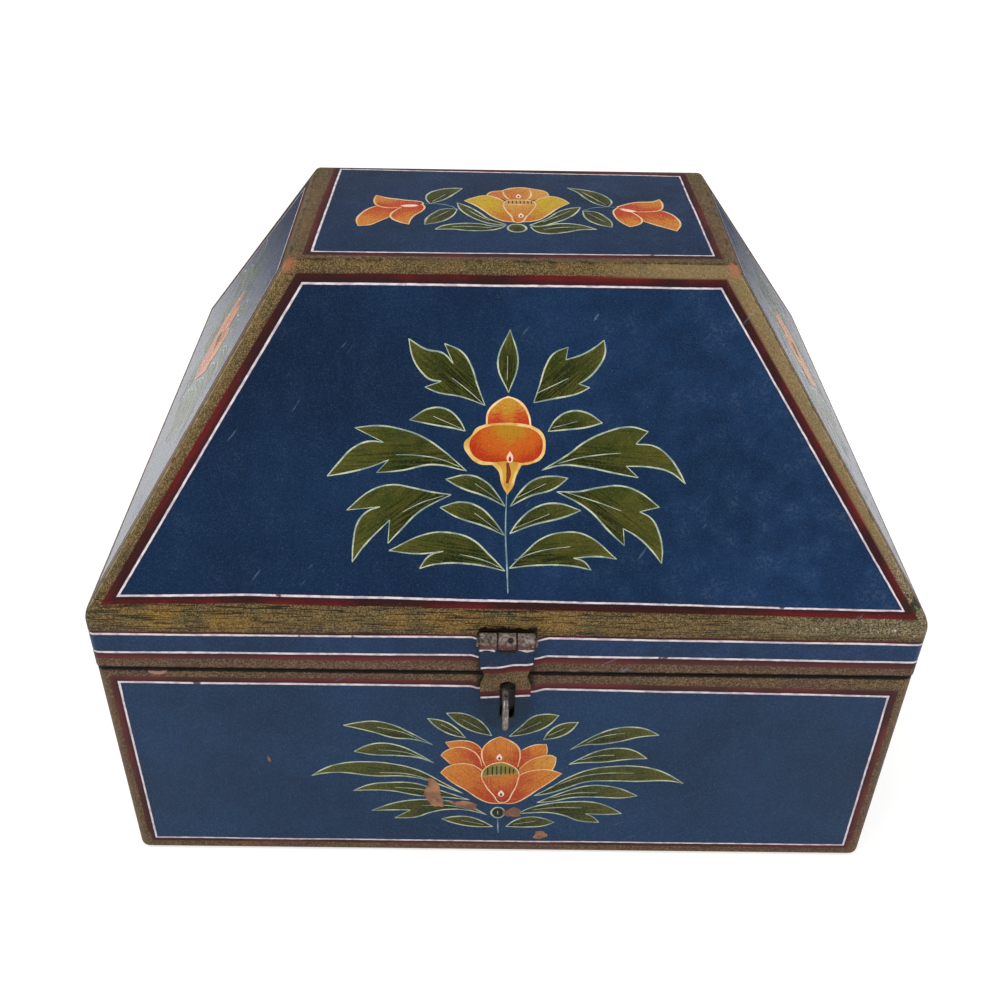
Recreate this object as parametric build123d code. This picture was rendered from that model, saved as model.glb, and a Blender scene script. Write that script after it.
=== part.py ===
"""A painted wooden box with a hipped, flat-topped lid, an iron hasp and staple, and two rear hinges.

Millimetres. X runs along the front from left to right, Y from front to back and Z up. The
origin is the centre of the underside, and the lid is closed with the hasp over its staple.
"""
from build123d import *
import math
import os

# The closed box
box_width = 300.0
box_depth = 235.0
base_height = 104.0
skirt_height = 25.0
roof_rise = 103.5
top_width = 158.0
top_depth = 88.5
lid_gap = 0.4

# Boards
wall_thickness = 10.0
bottom_thickness = 8.0
slope_thickness = 9.0
top_thickness = 8.0

# Eased edges
corner_radius = 4.0
foot_radius = 2.5
rim_radius = 0.8
ridge_radius = 12.0
lid_edge_radius = 3.0
top_edge_radius = 2.5

# Nails, punched below the painted face and filled over
nail_radius = 1.0
nail_head_radius = 1.7
nail_head_thickness = 0.8
nail_length = 27.0
foot_nail_length = 19.0
nail_depth = 1.2
nail_clearance = 0.1
corner_nail_count = 3
bottom_nail_count = 4
rail_nail_count = 2
foot_nail_half_count = 2
long_slope_nail_count = 3
short_slope_nail_count = 2

# Folded sheet knuckles, the same on the hasp and on both rear hinges
pin_radius = 1.3
pin_clearance = 0.05
knuckle_radius = 3.0
knuckle_gap = 0.3
centre_knuckle_width = 6.2
pin_head_radius = 2.0
pin_head_thickness = 0.7

# Rear hinges
hinge_spacing = 170.0
hinge_width = 20.0
leaf_length = 21.0
leaf_thickness = 1.5
leaf_corner_radius = 2.0
hinge_nail_radius = 0.9
hinge_nail_head_radius = 2.2
hinge_nail_head_thickness = 0.9
hinge_nail_length = 8.0
hinge_nail_spacing = 11.0
hinge_nail_edge = 5.0

# Hasp
hasp_pin_drop = 6.4
hasp_width = 20.0
hasp_thickness = 1.6
hasp_stand_off = 0.8
hasp_length = 47.0
hasp_waist_width = 15.6
hasp_waist_drop = 19.0
hasp_eye_width = 18.8
hasp_eye_drop = 25.0
hasp_taper_width = 17.6
hasp_taper_drop = 33.5
slot_width = 5.4
slot_offset = 0.8
slot_top_drop = 20.8
slot_bottom_drop = 40.0
strap_thickness = 2.0
strap_clearance = 0.1
clinch_length = 5.5
clinch_thickness = 1.0

# Staple of bent wire
staple_wire_radius = 1.2
staple_drop = 31.0
staple_leg_spacing = 13.6
staple_reach = 12.8
staple_bend_radius = 1.8
staple_clinch_length = 4.5
staple_clearance = 0.1

# Places worked out from the sizes above
front_y = -box_depth / 2
back_y = box_depth / 2
rail_bottom = base_height + lid_gap
ridge_z = rail_bottom + skirt_height
top_z = ridge_z + roof_rise
top_board_z = top_z - top_thickness
depth_run = (box_depth - top_depth) / 2
width_run = (box_width - top_width) / 2
depth_slope_length = math.hypot(depth_run, roof_rise)
width_slope_length = math.hypot(width_run, roof_rise)
depth_slope_inset = slope_thickness * depth_slope_length / roof_rise
width_slope_inset = slope_thickness * width_slope_length / roof_rise
hinge_axis_y = back_y + knuckle_radius + knuckle_gap
hinge_axis_z = base_height + lid_gap / 2
hasp_axis_y = front_y - knuckle_radius - knuckle_gap
hasp_axis_z = ridge_z - hasp_pin_drop
staple_z = hasp_axis_z - staple_drop

low = (Align.CENTER, Align.CENTER, Align.MIN)


def block(x_range, y_range, z_range):
    """A box between two corners."""
    size = (x_range[1] - x_range[0], y_range[1] - y_range[0], z_range[1] - z_range[0])
    middle = (sum(x_range) / 2, sum(y_range) / 2, sum(z_range) / 2)
    return Pos(*middle) * Box(*size)


def ruled_block(lower_points, lower_z, upper_points, upper_z):
    """A solid between two polygons at two heights, with flat sides."""
    lower = make_face(Polyline(*[(x, y, lower_z) for x, y in lower_points], close=True))
    upper = make_face(Polyline(*[(x, y, upper_z) for x, y in upper_points], close=True))
    return loft([lower, upper], ruled=True)


def evenly(count, start, end):
    """Places spread evenly from start to end."""
    if count < 2:
        return [(start + end) / 2]
    return [start + (end - start) * step / (count - 1) for step in range(count)]


def tube_x(radius, x_range, y, z):
    """A round bar along X."""
    bar = Rot(0, 90, 0) * Cylinder(radius, x_range[1] - x_range[0])
    return Pos(sum(x_range) / 2, y, z) * bar


# Outer forms that the boards are cut from

def base_form():
    """The outside of the base, with its corners and edges eased."""
    form = block((-box_width / 2, box_width / 2), (front_y, back_y), (0, base_height))
    form = fillet(form.edges().filter_by(Axis.Z), corner_radius)
    form = fillet(form.edges().group_by(Axis.Z)[0], foot_radius)
    return fillet(form.edges().group_by(Axis.Z)[-1], rim_radius)


def lid_profile(half_width, half_top):
    """The lid seen along one axis: upright skirt, sloping sides, and softly rounded ridges."""
    points = [
        (-half_width, rail_bottom),
        (-half_width, ridge_z),
        (-half_top, top_z),
        (half_top, top_z),
        (half_width, ridge_z),
        (half_width, rail_bottom),
    ]
    profile = make_face(Polyline(*points, close=True))
    ridges = [corner for corner in profile.vertices() if abs(corner.Y - ridge_z) < skirt_height / 9]
    return fillet(ridges, ridge_radius)


def lid_form():
    """The outside of the lid: the shape that its two profiles share, with its edges eased."""
    across = extrude(Plane.XZ * lid_profile(box_width / 2, top_width / 2), box_depth, both=True)
    along = extrude(Plane.YZ * lid_profile(box_depth / 2, top_depth / 2), box_width, both=True)
    form = across & along
    corners = [
        edge
        for edge in form.edges()
        if abs(edge.tangent_at(0.5).X) < 0.999 and abs(edge.tangent_at(0.5).Y) < 0.999
    ]
    form = fillet(corners, lid_edge_radius)
    form = fillet(form.edges().group_by(Axis.Z)[0], rim_radius)
    return fillet(form.edges().group_by(Axis.Z)[-1], top_edge_radius)


# Nails

def nail(point, direction, length=nail_length, grow=0.0):
    """One nail with its head at a point, or its hole when it is grown by a clearance."""
    place = Plane(origin=point, z_dir=direction)
    head = Cylinder(nail_head_radius + grow, nail_head_thickness + grow, align=low)
    shank = Cylinder(nail_radius + grow, length + grow, align=low)
    return place * (head + shank)


def wall_nails(x_places, z_places):
    """Nails through the front and the back, driven inwards along Y."""
    places = []
    for x in x_places:
        for z in z_places:
            places.append(((x, front_y + nail_depth, z), (0, 1, 0)))
            places.append(((x, back_y - nail_depth, z), (0, -1, 0)))
    return places


def corner_nail_places():
    """Nails through the front and back boards into the ends of the side boards."""
    x = box_width / 2 - wall_thickness / 2
    first = bottom_thickness + 2 * wall_thickness
    return wall_nails((-x, x), evenly(corner_nail_count, first, base_height - wall_thickness))


def bottom_nail_places():
    """Nails through the front and back boards into the edge of the bottom board."""
    reach = box_width / 2 - 3 * wall_thickness
    return wall_nails(evenly(bottom_nail_count, -reach, reach), (bottom_thickness / 2,))


def rail_nail_places():
    """Nails through the front and back rails of the lid into the ends of its side rails."""
    x = box_width / 2 - wall_thickness / 2
    margin = skirt_height / 4
    return wall_nails((-x, x), evenly(rail_nail_count, rail_bottom + margin, ridge_z - margin))


def roof_nail_places():
    """Nails down through the top board, along the middle of each slope board."""
    places = []
    y = top_depth / 2 - depth_slope_inset / 2
    x = top_width / 2 - width_slope_inset / 2
    z = top_z - nail_depth
    for along in evenly(long_slope_nail_count, -top_width / 3, top_width / 3):
        places.append(((along, -y, z), (0, -depth_run, -roof_rise)))
        places.append(((along, y, z), (0, depth_run, -roof_rise)))
    for along in evenly(short_slope_nail_count, -top_depth / 5, top_depth / 5):
        places.append(((-x, along, z), (-width_run, 0, -roof_rise)))
        places.append(((x, along, z), (width_run, 0, -roof_rise)))
    return places


def foot_nail_places():
    """Nails down through the lower edge of each slope board into the rail under it."""
    places = []
    y = box_depth / 2 - wall_thickness / 2
    x = box_width / 2 - wall_thickness / 2
    cover = wall_thickness / 2 - nail_head_radius
    front_z = ridge_z + cover * roof_rise / depth_run - nail_depth
    side_z = ridge_z + cover * roof_rise / width_run - nail_depth
    for along in evenly(foot_nail_half_count, 1.5 * hasp_width, hinge_spacing / 2 + hinge_width):
        for sign in (-1, 1):
            places.append(((-along, sign * y, front_z), (0, 0, -1)))
            places.append(((along, sign * y, front_z), (0, 0, -1)))
    for along in evenly(short_slope_nail_count, -box_depth / 4, box_depth / 4):
        for sign in (-1, 1):
            places.append(((sign * x, along, side_z), (0, 0, -1)))
    return places


def nails(places, length=nail_length):
    """A group of nails as separate solids."""
    return Compound(children=[nail(point, direction, length) for point, direction in places])


def drilled(board, places, length=nail_length):
    """A board with a hole for each nail."""
    for point, direction in places:
        board = board - nail(point, direction, length, nail_clearance)
    return board


def on_side(places, side):
    """The nails that lie towards one side of the box."""
    axis, sign = {"front": (1, -1), "back": (1, 1), "left": (0, -1), "right": (0, 1)}[side]
    reach = {0: box_width / 2 - 2 * wall_thickness, 1: box_depth / 2 - 2 * wall_thickness}[axis]
    return [place for place in places if place[0][axis] * sign > reach]


# Boards of the base

def base_boards():
    """Front and back run the full width, with the sides and the bottom between them."""
    form = base_form()
    half = box_width / 2
    inner_x = half - wall_thickness
    inner_y = back_y - wall_thickness
    height = (0, base_height)
    corner_places = corner_nail_places()
    wall_places = corner_places + bottom_nail_places()
    front = form & block((-half, half), (front_y, -inner_y), height)
    front = drilled(front, [place for place in wall_places if place[1][1] > 0])
    front = front - staple_legs(staple_wire_radius + staple_clearance)
    back = form & block((-half, half), (inner_y, back_y), height)
    back = drilled(back, [place for place in wall_places if place[1][1] < 0])
    back = back - hinge_nail_holes(lower=True)
    left = form & block((-half, -inner_x), (-inner_y, inner_y), height)
    right = form & block((inner_x, half), (-inner_y, inner_y), height)
    bottom = block((-inner_x, inner_x), (-inner_y, inner_y), (0, bottom_thickness))
    return {
        "base_front_board": front,
        "base_back_board": back,
        "base_left_board": drilled(left, [place for place in corner_places if place[0][0] < 0]),
        "base_right_board": drilled(right, [place for place in corner_places if place[0][0] > 0]),
        "bottom_board": drilled(bottom, bottom_nail_places()),
    }


# Boards of the lid

def lid_rails(form):
    """The four boards of the lid's upright skirt."""
    half = box_width / 2
    inner_x = half - wall_thickness
    inner_y = back_y - wall_thickness
    height = (rail_bottom, ridge_z)
    places = rail_nail_places()
    front = form & block((-half, half), (front_y, -inner_y), height)
    front = drilled(front, [place for place in places if place[1][1] > 0])
    front = front - strap_tail(strap_clearance)
    back = form & block((-half, half), (inner_y, back_y), height)
    back = drilled(back, [place for place in places if place[1][1] < 0])
    back = back - hinge_nail_holes(lower=False)
    left = form & block((-half, -inner_x), (-inner_y, inner_y), height)
    left = drilled(left, [place for place in places if place[0][0] < 0])
    right = form & block((inner_x, half), (-inner_y, inner_y), height)
    right = drilled(right, [place for place in places if place[0][0] > 0])
    rails = {"front": front, "back": back, "left": left, "right": right}
    return {
        "lid_rail_" + side: drilled(rail, on_side(foot_nail_places(), side), foot_nail_length)
        for side, rail in rails.items()
    }


def slope_corners(z, inset):
    """Plan distances from the middle to a corner of the roof at one height."""
    share = (z - ridge_z) / roof_rise
    x = box_width / 2 - width_run * share - width_slope_inset * inset
    y = box_depth / 2 - depth_run * share - depth_slope_inset * inset
    return x, y


def slope_sections(side, z):
    """The mitred section of one slope board at one height, cut beyond its outer face."""
    inner_x, inner_y = slope_corners(z, 1)
    outer_x, outer_y = slope_corners(z, -1)
    long_side = [(-outer_x, outer_y), (outer_x, outer_y), (inner_x, inner_y), (-inner_x, inner_y)]
    short_side = [(outer_x, -outer_y), (outer_x, outer_y), (inner_x, inner_y), (inner_x, -inner_y)]
    turned = {
        "front": [(x, -y) for x, y in long_side],
        "back": long_side,
        "left": [(-x, y) for x, y in short_side],
        "right": short_side,
    }
    return turned[side]


def lid_slopes(form):
    """The four sloping boards, mitred together along the hips."""
    pieces = {}
    for side in ("front", "back", "left", "right"):
        lower = slope_sections(side, ridge_z)
        upper = slope_sections(side, top_board_z)
        board = form & ruled_block(lower, ridge_z, upper, top_board_z)
        axis, sign = {"front": (1, -1), "back": (1, 1), "left": (0, -1), "right": (0, 1)}[side]
        board = drilled(board, [place for place in roof_nail_places() if place[1][axis] * sign > 0])
        board = drilled(board, on_side(foot_nail_places(), side), foot_nail_length)
        pieces["lid_slope_" + side] = board
    return pieces


def lid_top_board(form):
    """The flat board that closes the roof, its edges in line with the slopes."""
    board = form & block((-box_width, box_width), (-box_depth, box_depth), (top_board_z, top_z))
    return drilled(board, roof_nail_places())


# Knuckles and pins

def knuckle_bore(x_range, y, z):
    """The hole through a knuckle that its pin turns in."""
    return tube_x(pin_radius + pin_clearance, x_range, y, z)


def pin(width, y, z):
    """A pin with its ends spread beyond the outer knuckles."""
    half = width / 2 + knuckle_gap / 2
    body = tube_x(pin_radius, (-half, half), y, z)
    left = tube_x(pin_head_radius, (-half - pin_head_thickness, -half), y, z)
    right = tube_x(pin_head_radius, (half, half + pin_head_thickness), y, z)
    return body + left + right


# Rear hinges

def hinge_nail_places(lower):
    """Where the nails of one hinge leaf lie, seen from behind."""
    sign = -1 if lower else 1
    far = leaf_length - hinge_nail_edge
    return [
        (-hinge_nail_spacing / 2, hinge_axis_z + sign * far),
        (hinge_nail_spacing / 2, hinge_axis_z + sign * far),
        (0, hinge_axis_z + sign * (knuckle_radius + hinge_nail_edge)),
    ]


def hinge_nail(x, z, grow=0.0):
    """One dome-headed nail of a hinge, driven forwards from the leaf."""
    face = back_y + leaf_thickness
    shank = Rot(90, 0, 0) * Cylinder(hinge_nail_radius + grow, hinge_nail_length + leaf_thickness, align=low)
    rise = hinge_nail_head_thickness
    dome_radius = (hinge_nail_head_radius**2 + rise**2) / (2 * rise)
    ball = Pos(0, rise - dome_radius, 0) * Sphere(dome_radius)
    cap = ball & block((-dome_radius, dome_radius), (0, dome_radius), (-dome_radius, dome_radius))
    solid = shank if grow else shank + cap
    return Pos(x, face, z) * solid


def hinge_centres():
    """The middles of the two hinges along X."""
    return (-hinge_spacing / 2, hinge_spacing / 2)


def hinge_nails(lower):
    """All nails of the two lower or the two upper leaves."""
    solids = [
        hinge_nail(centre + x, z) for centre in hinge_centres() for x, z in hinge_nail_places(lower)
    ]
    return Compound(children=solids)


def hinge_nail_holes(lower):
    """The holes that those nails leave in the board behind the leaves."""
    holes = [
        hinge_nail(centre + x, z, nail_clearance)
        for centre in hinge_centres()
        for x, z in hinge_nail_places(lower)
    ]
    return Compound(children=holes)


def leaf_plate(lower):
    """The flat part of a leaf against the wood, with its two free corners rounded."""
    sign = -1 if lower else 1
    far = hinge_axis_z + sign * leaf_length
    z_range = (min(hinge_axis_z, far), max(hinge_axis_z, far))
    plate = block((-hinge_width / 2, hinge_width / 2), (back_y, back_y + leaf_thickness), z_range)
    corners = plate.edges().filter_by(Axis.Y).group_by(Axis.Z)[0 if lower else -1]
    return fillet(corners, leaf_corner_radius)


def hinge_lower_leaf():
    """The leaf on the base, with the two outer knuckles."""
    inner = centre_knuckle_width / 2 + knuckle_gap
    clear = knuckle_radius + knuckle_gap
    depth = (back_y - leaf_thickness, hinge_axis_y)
    leaf = leaf_plate(True)
    leaf = leaf - block((-inner, inner), depth, (hinge_axis_z - clear, hinge_axis_z + clear))
    for x_range in ((-hinge_width / 2, -inner), (inner, hinge_width / 2)):
        leaf = leaf + tube_x(knuckle_radius, x_range, hinge_axis_y, hinge_axis_z)
    leaf = leaf - knuckle_bore((-hinge_width, hinge_width), hinge_axis_y, hinge_axis_z)
    for x, z in hinge_nail_places(True):
        leaf = leaf - hinge_nail(x, z, nail_clearance)
    return leaf


def hinge_upper_leaf():
    """The leaf on the lid, with the centre knuckle."""
    inner = centre_knuckle_width / 2
    clear = knuckle_radius + knuckle_gap
    depth = (back_y - leaf_thickness, hinge_axis_y)
    leaf = leaf_plate(False)
    for x_range in ((-hinge_width, -inner), (inner, hinge_width)):
        leaf = leaf - block(x_range, depth, (hinge_axis_z - clear, hinge_axis_z + clear))
    leaf = leaf - block((-inner, inner), depth, (hinge_axis_z - clear, rail_bottom))
    leaf = leaf + tube_x(knuckle_radius, (-inner, inner), hinge_axis_y, hinge_axis_z)
    leaf = leaf - knuckle_bore((-hinge_width, hinge_width), hinge_axis_y, hinge_axis_z)
    for x, z in hinge_nail_places(False):
        leaf = leaf - hinge_nail(x, z, nail_clearance)
    return leaf


# Hasp

def hasp_outline():
    """Half of the hasp plate's outline, from its top edge down to its round end."""
    top = (hasp_width / 2, hasp_axis_z)
    shoulder = (hasp_width / 2, hasp_axis_z - hasp_waist_drop / 2)
    waist = (hasp_waist_width / 2, hasp_axis_z - hasp_waist_drop)
    eye = (hasp_eye_width / 2, hasp_axis_z - hasp_eye_drop)
    taper = (hasp_taper_width / 2, hasp_axis_z - hasp_taper_drop)
    end = (0, hasp_axis_z - hasp_length)
    round_middle = (0.74 * taper[0], end[1] + 0.36 * (taper[1] - end[1]))
    return top, shoulder, waist, eye, taper, round_middle, end


def hasp_plate():
    """The swinging plate: two outer knuckles, a waist, and a slot that goes over the staple."""
    top, shoulder, waist, eye, taper, round_middle, end = hasp_outline()
    sides = []
    for sign in (-1, 1):
        points = [(sign * x, z) for x, z in (top, shoulder, waist, eye, taper, round_middle, end)]
        sides.append(Line(points[0], points[1]))
        sides.append(Spline(points[1], points[2], points[3], tangents=((0, -1), (0, -1))))
        sides.append(Line(points[3], points[4]))
        sides.append(ThreePointArc(points[4], points[5], points[6]))
    sides.append(Line((-top[0], top[1]), top))
    upright = Plane(origin=(0, front_y - hasp_stand_off, 0), x_dir=(1, 0, 0), z_dir=(0, -1, 0))
    plate = extrude(upright * make_face(sides), hasp_thickness)
    inner = centre_knuckle_width / 2 + knuckle_gap
    clear = knuckle_radius + knuckle_gap
    deep = (hasp_axis_y - hasp_thickness, front_y)
    plate = plate - block((-inner, inner), deep, (hasp_axis_z - clear, hasp_axis_z + clear))
    slot_length = slot_bottom_drop - slot_top_drop
    slot = extrude(SlotOverall(slot_length, slot_width, rotation=90), 4 * hasp_thickness, both=True)
    slot_z = hasp_axis_z - (slot_top_drop + slot_bottom_drop) / 2
    plate = plate - Pos(slot_offset, front_y - hasp_stand_off, slot_z) * Rot(90, 0, 0) * slot
    for x_range in ((-hasp_width / 2, -inner), (inner, hasp_width / 2)):
        plate = plate + tube_x(knuckle_radius, x_range, hasp_axis_y, hasp_axis_z)
    return plate - knuckle_bore((-hasp_width, hasp_width), hasp_axis_y, hasp_axis_z)


def strap_tail(grow=0.0):
    """The doubled strip of the centre knuckle, where it goes through the lid's front rail."""
    half = centre_knuckle_width / 2 + grow
    depth = (hasp_axis_y + pin_radius, front_y + wall_thickness + clinch_thickness)
    thickness = strap_thickness / 2 + grow
    return block((-half, half), depth, (hasp_axis_z - thickness, hasp_axis_z + thickness))


def hasp_strap():
    """The centre knuckle, its tail through the rail, and its two ends clinched inside."""
    half = centre_knuckle_width / 2
    inner_face = front_y + wall_thickness
    clinch = block(
        (-half, half),
        (inner_face, inner_face + clinch_thickness),
        (hasp_axis_z - clinch_length, hasp_axis_z + clinch_length),
    )
    strap = tube_x(knuckle_radius, (-half, half), hasp_axis_y, hasp_axis_z) + strap_tail() + clinch
    return strap - knuckle_bore((-hasp_width, hasp_width), hasp_axis_y, hasp_axis_z)


# Staple

def staple_path():
    """The middle of the staple's wire, from one clinched end round the eye to the other."""
    inside = front_y + wall_thickness + staple_wire_radius
    nose = front_y - staple_reach
    upper = staple_z + staple_leg_spacing / 2
    lower = staple_z - staple_leg_spacing / 2
    points = [
        (0, inside, upper + staple_clinch_length),
        (0, inside, upper),
        (0, nose, upper),
        (0, nose, lower),
        (0, inside, lower),
        (0, inside, lower - staple_clinch_length),
    ]
    nose_radius = 0.49 * staple_leg_spacing
    return FilletPolyline(*points, radius=[staple_bend_radius, nose_radius, nose_radius, staple_bend_radius])


def staple():
    """A wire staple through the front board, its ends bent over inside."""
    path = staple_path()
    start = Plane(origin=path @ 0, z_dir=path % 0)
    return sweep(start * Circle(staple_wire_radius), path=path)


def staple_legs(radius):
    """The two holes that the staple's legs need in the front board."""
    holes = []
    for z in (staple_z + staple_leg_spacing / 2, staple_z - staple_leg_spacing / 2):
        bar = Rot(90, 0, 0) * Cylinder(radius, 3 * wall_thickness)
        relief = Pos(0, front_y + wall_thickness, z) * Sphere(radius + staple_bend_radius / 3)
        holes.append(Pos(0, front_y, z) * bar)
        holes.append(relief)
    return Compound(children=holes)


def build_parts():
    """Every sub-part of the box, by name."""
    parts = base_boards()
    form = lid_form()
    parts.update(lid_rails(form))
    parts.update(lid_slopes(form))
    parts["lid_top_board"] = lid_top_board(form)
    parts["base_corner_nails"] = nails(corner_nail_places())
    parts["bottom_nails"] = nails(bottom_nail_places())
    parts["lid_rail_nails"] = nails(rail_nail_places())
    parts["lid_top_nails"] = nails(roof_nail_places())
    parts["lid_foot_nails"] = nails(foot_nail_places(), foot_nail_length)
    for side, centre in zip(("left", "right"), hinge_centres()):
        parts["hinge_lower_leaf_" + side] = Pos(centre, 0, 0) * hinge_lower_leaf()
        parts["hinge_upper_leaf_" + side] = Pos(centre, 0, 0) * hinge_upper_leaf()
        parts["hinge_pin_" + side] = Pos(centre, 0, 0) * pin(hinge_width, hinge_axis_y, hinge_axis_z)
    parts["hinge_lower_nails"] = hinge_nails(True)
    parts["hinge_upper_nails"] = hinge_nails(False)
    parts["hasp_plate"] = hasp_plate()
    parts["hasp_strap"] = hasp_strap()
    parts["hasp_pin"] = pin(hasp_width, hasp_axis_y, hasp_axis_z)
    parts["hasp_staple"] = staple()
    return parts


os.makedirs("parts", exist_ok=True)
for name, shape in build_parts().items():
    export_step(shape, os.path.join("parts", name + ".step"))
    print(name, len(shape.solids()), round(shape.volume, 1))
print("overall", box_width, box_depth, round(top_z, 2), "ridge at", round(ridge_z, 2))
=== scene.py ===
"""The looks of an old painted wooden box with a hipped lid, a folded iron hasp and two rear hinges.

Lengths in the materials and in the painted flowers are millimetres, everything else is metres.
"""

import math

import bpy
from mathutils import Matrix, Vector


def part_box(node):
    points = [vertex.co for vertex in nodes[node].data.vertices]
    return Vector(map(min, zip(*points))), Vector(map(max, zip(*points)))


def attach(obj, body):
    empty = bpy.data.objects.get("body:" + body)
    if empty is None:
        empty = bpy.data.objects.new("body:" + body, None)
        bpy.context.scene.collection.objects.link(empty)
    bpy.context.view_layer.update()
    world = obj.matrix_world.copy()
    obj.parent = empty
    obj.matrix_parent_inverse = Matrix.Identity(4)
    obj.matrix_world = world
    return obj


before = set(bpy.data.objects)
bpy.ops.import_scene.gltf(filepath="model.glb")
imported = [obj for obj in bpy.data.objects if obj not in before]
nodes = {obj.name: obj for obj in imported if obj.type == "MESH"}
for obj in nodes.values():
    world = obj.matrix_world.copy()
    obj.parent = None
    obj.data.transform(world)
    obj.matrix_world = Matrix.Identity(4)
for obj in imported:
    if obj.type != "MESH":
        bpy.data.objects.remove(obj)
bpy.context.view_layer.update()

MM = 0.001

# Places read from the frame
base_low, base_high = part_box("base_front_board")
rail_low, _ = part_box("lid_rail_front")
top_low, top_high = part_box("lid_top_board")
half_width = base_high.x
half_depth = -base_low.y
base_top = base_high.z
skirt_low = rail_low.z
ridge = 0.1294
lid_top = top_high.z
top_half_width = 0.079
top_half_depth = 0.04425
rise = lid_top - ridge
front_run = half_depth - top_half_depth
side_run = half_width - top_half_width
front_length = math.hypot(front_run, rise)
side_length = math.hypot(side_run, rise)


def paint(red, green, blue):
    """A colour given as the eye reads it, 0 to 255, as the linear colour that a shader takes."""
    linear = []
    for part in (red, green, blue):
        share = part / 255
        linear.append(share / 12.92 if share <= 0.04045 else ((share + 0.055) / 1.055) ** 2.4)
    return (*linear, 1.0)


# How high and how far in the painter's lines run, in millimetres
BASE_TOP_LINE = 97.2
BASE_FOOT_LINE = 7.0
BASE_SIDE_LINE = 7.6
SKIRT_HIGH_LINE = 121.8
SKIRT_LOW_LINE = 113.1
HASP_HIGH_LINE = 109.9
HASP_LOW_LINE = 94.4
SLOPE_TOP_LINE = 8.6
LEFT_HIP_LINE = 7.4
RIGHT_HIP_LINE = 6.0
TOP_LEFT_LINE = -70.1
TOP_RIGHT_LINE = 70.85
TOP_FRONT_LINE = -37.9
TOP_BACK_LINE = 40.4

# Single marks, in millimetres
RIVET = (1.2, -122.7, 125.2)
DARK_SPOT = (143.0, -112.0, 135.0)
KNOCKED_CORNER = (79.0, -45.6, 231.6)
BASE_FLAKE_X = -127.5
SLOT_X = 0.8
FAR_AWAY = 10.0

VARNISH = 0.2
DEEP_BLUE = paint(17, 39, 68)
LIGHT_BLUE = paint(22, 49, 82)
GOLD = paint(112, 88, 48)
OCHRE = paint(142, 106, 38)
OLIVE = paint(94, 80, 44)
SOOT = paint(20, 13, 9)
DARK_RED = paint(100, 14, 13)
BROWN_RED = paint(56, 15, 12)
LINE_WHITE = paint(232, 220, 224)
SALMON = paint(196, 122, 92)
CREAM = paint(214, 200, 176)


class Sketch:
    """Adds nodes to one shader tree. A value may be a number, a colour or another node's output."""

    def __init__(self, tree):
        self.tree = tree

    def node(self, kind, inputs, **settings):
        made = self.tree.nodes.new("ShaderNode" + kind)
        for name, value in settings.items():
            setattr(made, name, value)
        for key, value in inputs.items():
            if isinstance(value, bpy.types.NodeSocket):
                self.tree.links.new(value, made.inputs[key])
            else:
                made.inputs[key].default_value = value
        return made

    def calc(self, operation, *values):
        return self.node("Math", dict(enumerate(values)), operation=operation).outputs[0]

    def vector(self, operation, *values):
        return self.node("VectorMath", dict(enumerate(values)), operation=operation).outputs[0]

    def fade(self, value, low, high):
        """0 at low and 1 at high, smooth between them; low may be the larger."""
        inputs = {"Value": value, "From Min": low, "From Max": high}
        return self.node("MapRange", inputs, interpolation_type="SMOOTHSTEP").outputs[0]

    def blend(self, share, first, second):
        return self.node("Mix", {0: share, 6: first, 7: second}, data_type="RGBA").outputs[2]

    def wash(self, under, mark, low, high, strength, over):
        """One colour brushed over another where a mark goes from low to high."""
        return self.blend(self.times(self.fade(mark, low, high), strength), under, over)

    def choose(self, share, first, second):
        return self.node("Mix", {0: share, 2: first, 3: second}, data_type="FLOAT").outputs[0]

    def choose_place(self, share, first, second):
        return self.node("Mix", {0: share, 4: first, 5: second}, data_type="VECTOR").outputs[1]

    def distance(self, place, point):
        offset = self.vector("SUBTRACT", place, point)
        return self.node("VectorMath", {0: offset}, operation="LENGTH").outputs["Value"]

    def noise(self, place, scale, detail=2.0):
        inputs = {"Vector": place, "Scale": scale, "Detail": detail}
        return self.node("TexNoise", inputs).outputs["Fac"]

    def split(self, vector):
        return self.node("SeparateXYZ", {0: vector}).outputs

    def join(self, x, y, z):
        return self.node("CombineXYZ", {0: x, 1: y, 2: z}).outputs[0]

    def times(self, first, second):
        return self.calc("MULTIPLY", first, second)

    def plus(self, first, second):
        return self.calc("ADD", first, second)

    def minus(self, first, second):
        return self.calc("SUBTRACT", first, second)

    def size(self, value):
        return self.calc("ABSOLUTE", value)

    def effect(self, group, inputs):
        return self.node("Group", inputs, node_tree=group).outputs


def new_group(name, inputs, outputs):
    """An empty node group: its sketch, its input sockets by name, and the node that takes its outputs."""
    tree = bpy.data.node_groups.new(name, "ShaderNodeTree")
    kinds = {1: "NodeSocketFloat", 3: "NodeSocketVector", 4: "NodeSocketColor"}
    for side, sockets in (("INPUT", inputs), ("OUTPUT", outputs)):
        for socket_name, value in sockets.items():
            kind = kinds[len(value) if isinstance(value, tuple) else 1]
            socket = tree.interface.new_socket(socket_name, in_out=side, socket_type=kind)
            socket.default_value = value
    start = tree.nodes.new("NodeGroupInput")
    end = tree.nodes.new("NodeGroupOutput")
    return Sketch(tree), start.outputs, end


def give(sketch, end, results):
    for name, value in results.items():
        sketch.tree.links.new(value, end.inputs[name])


BLACK = (0.0, 0.0, 0.0, 1.0)
ORIGIN = (0.0, 0.0, 0.0)
FINISH = {"Colour": BLACK, "Roughness": 0.5, "Height": 0.0}


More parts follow.
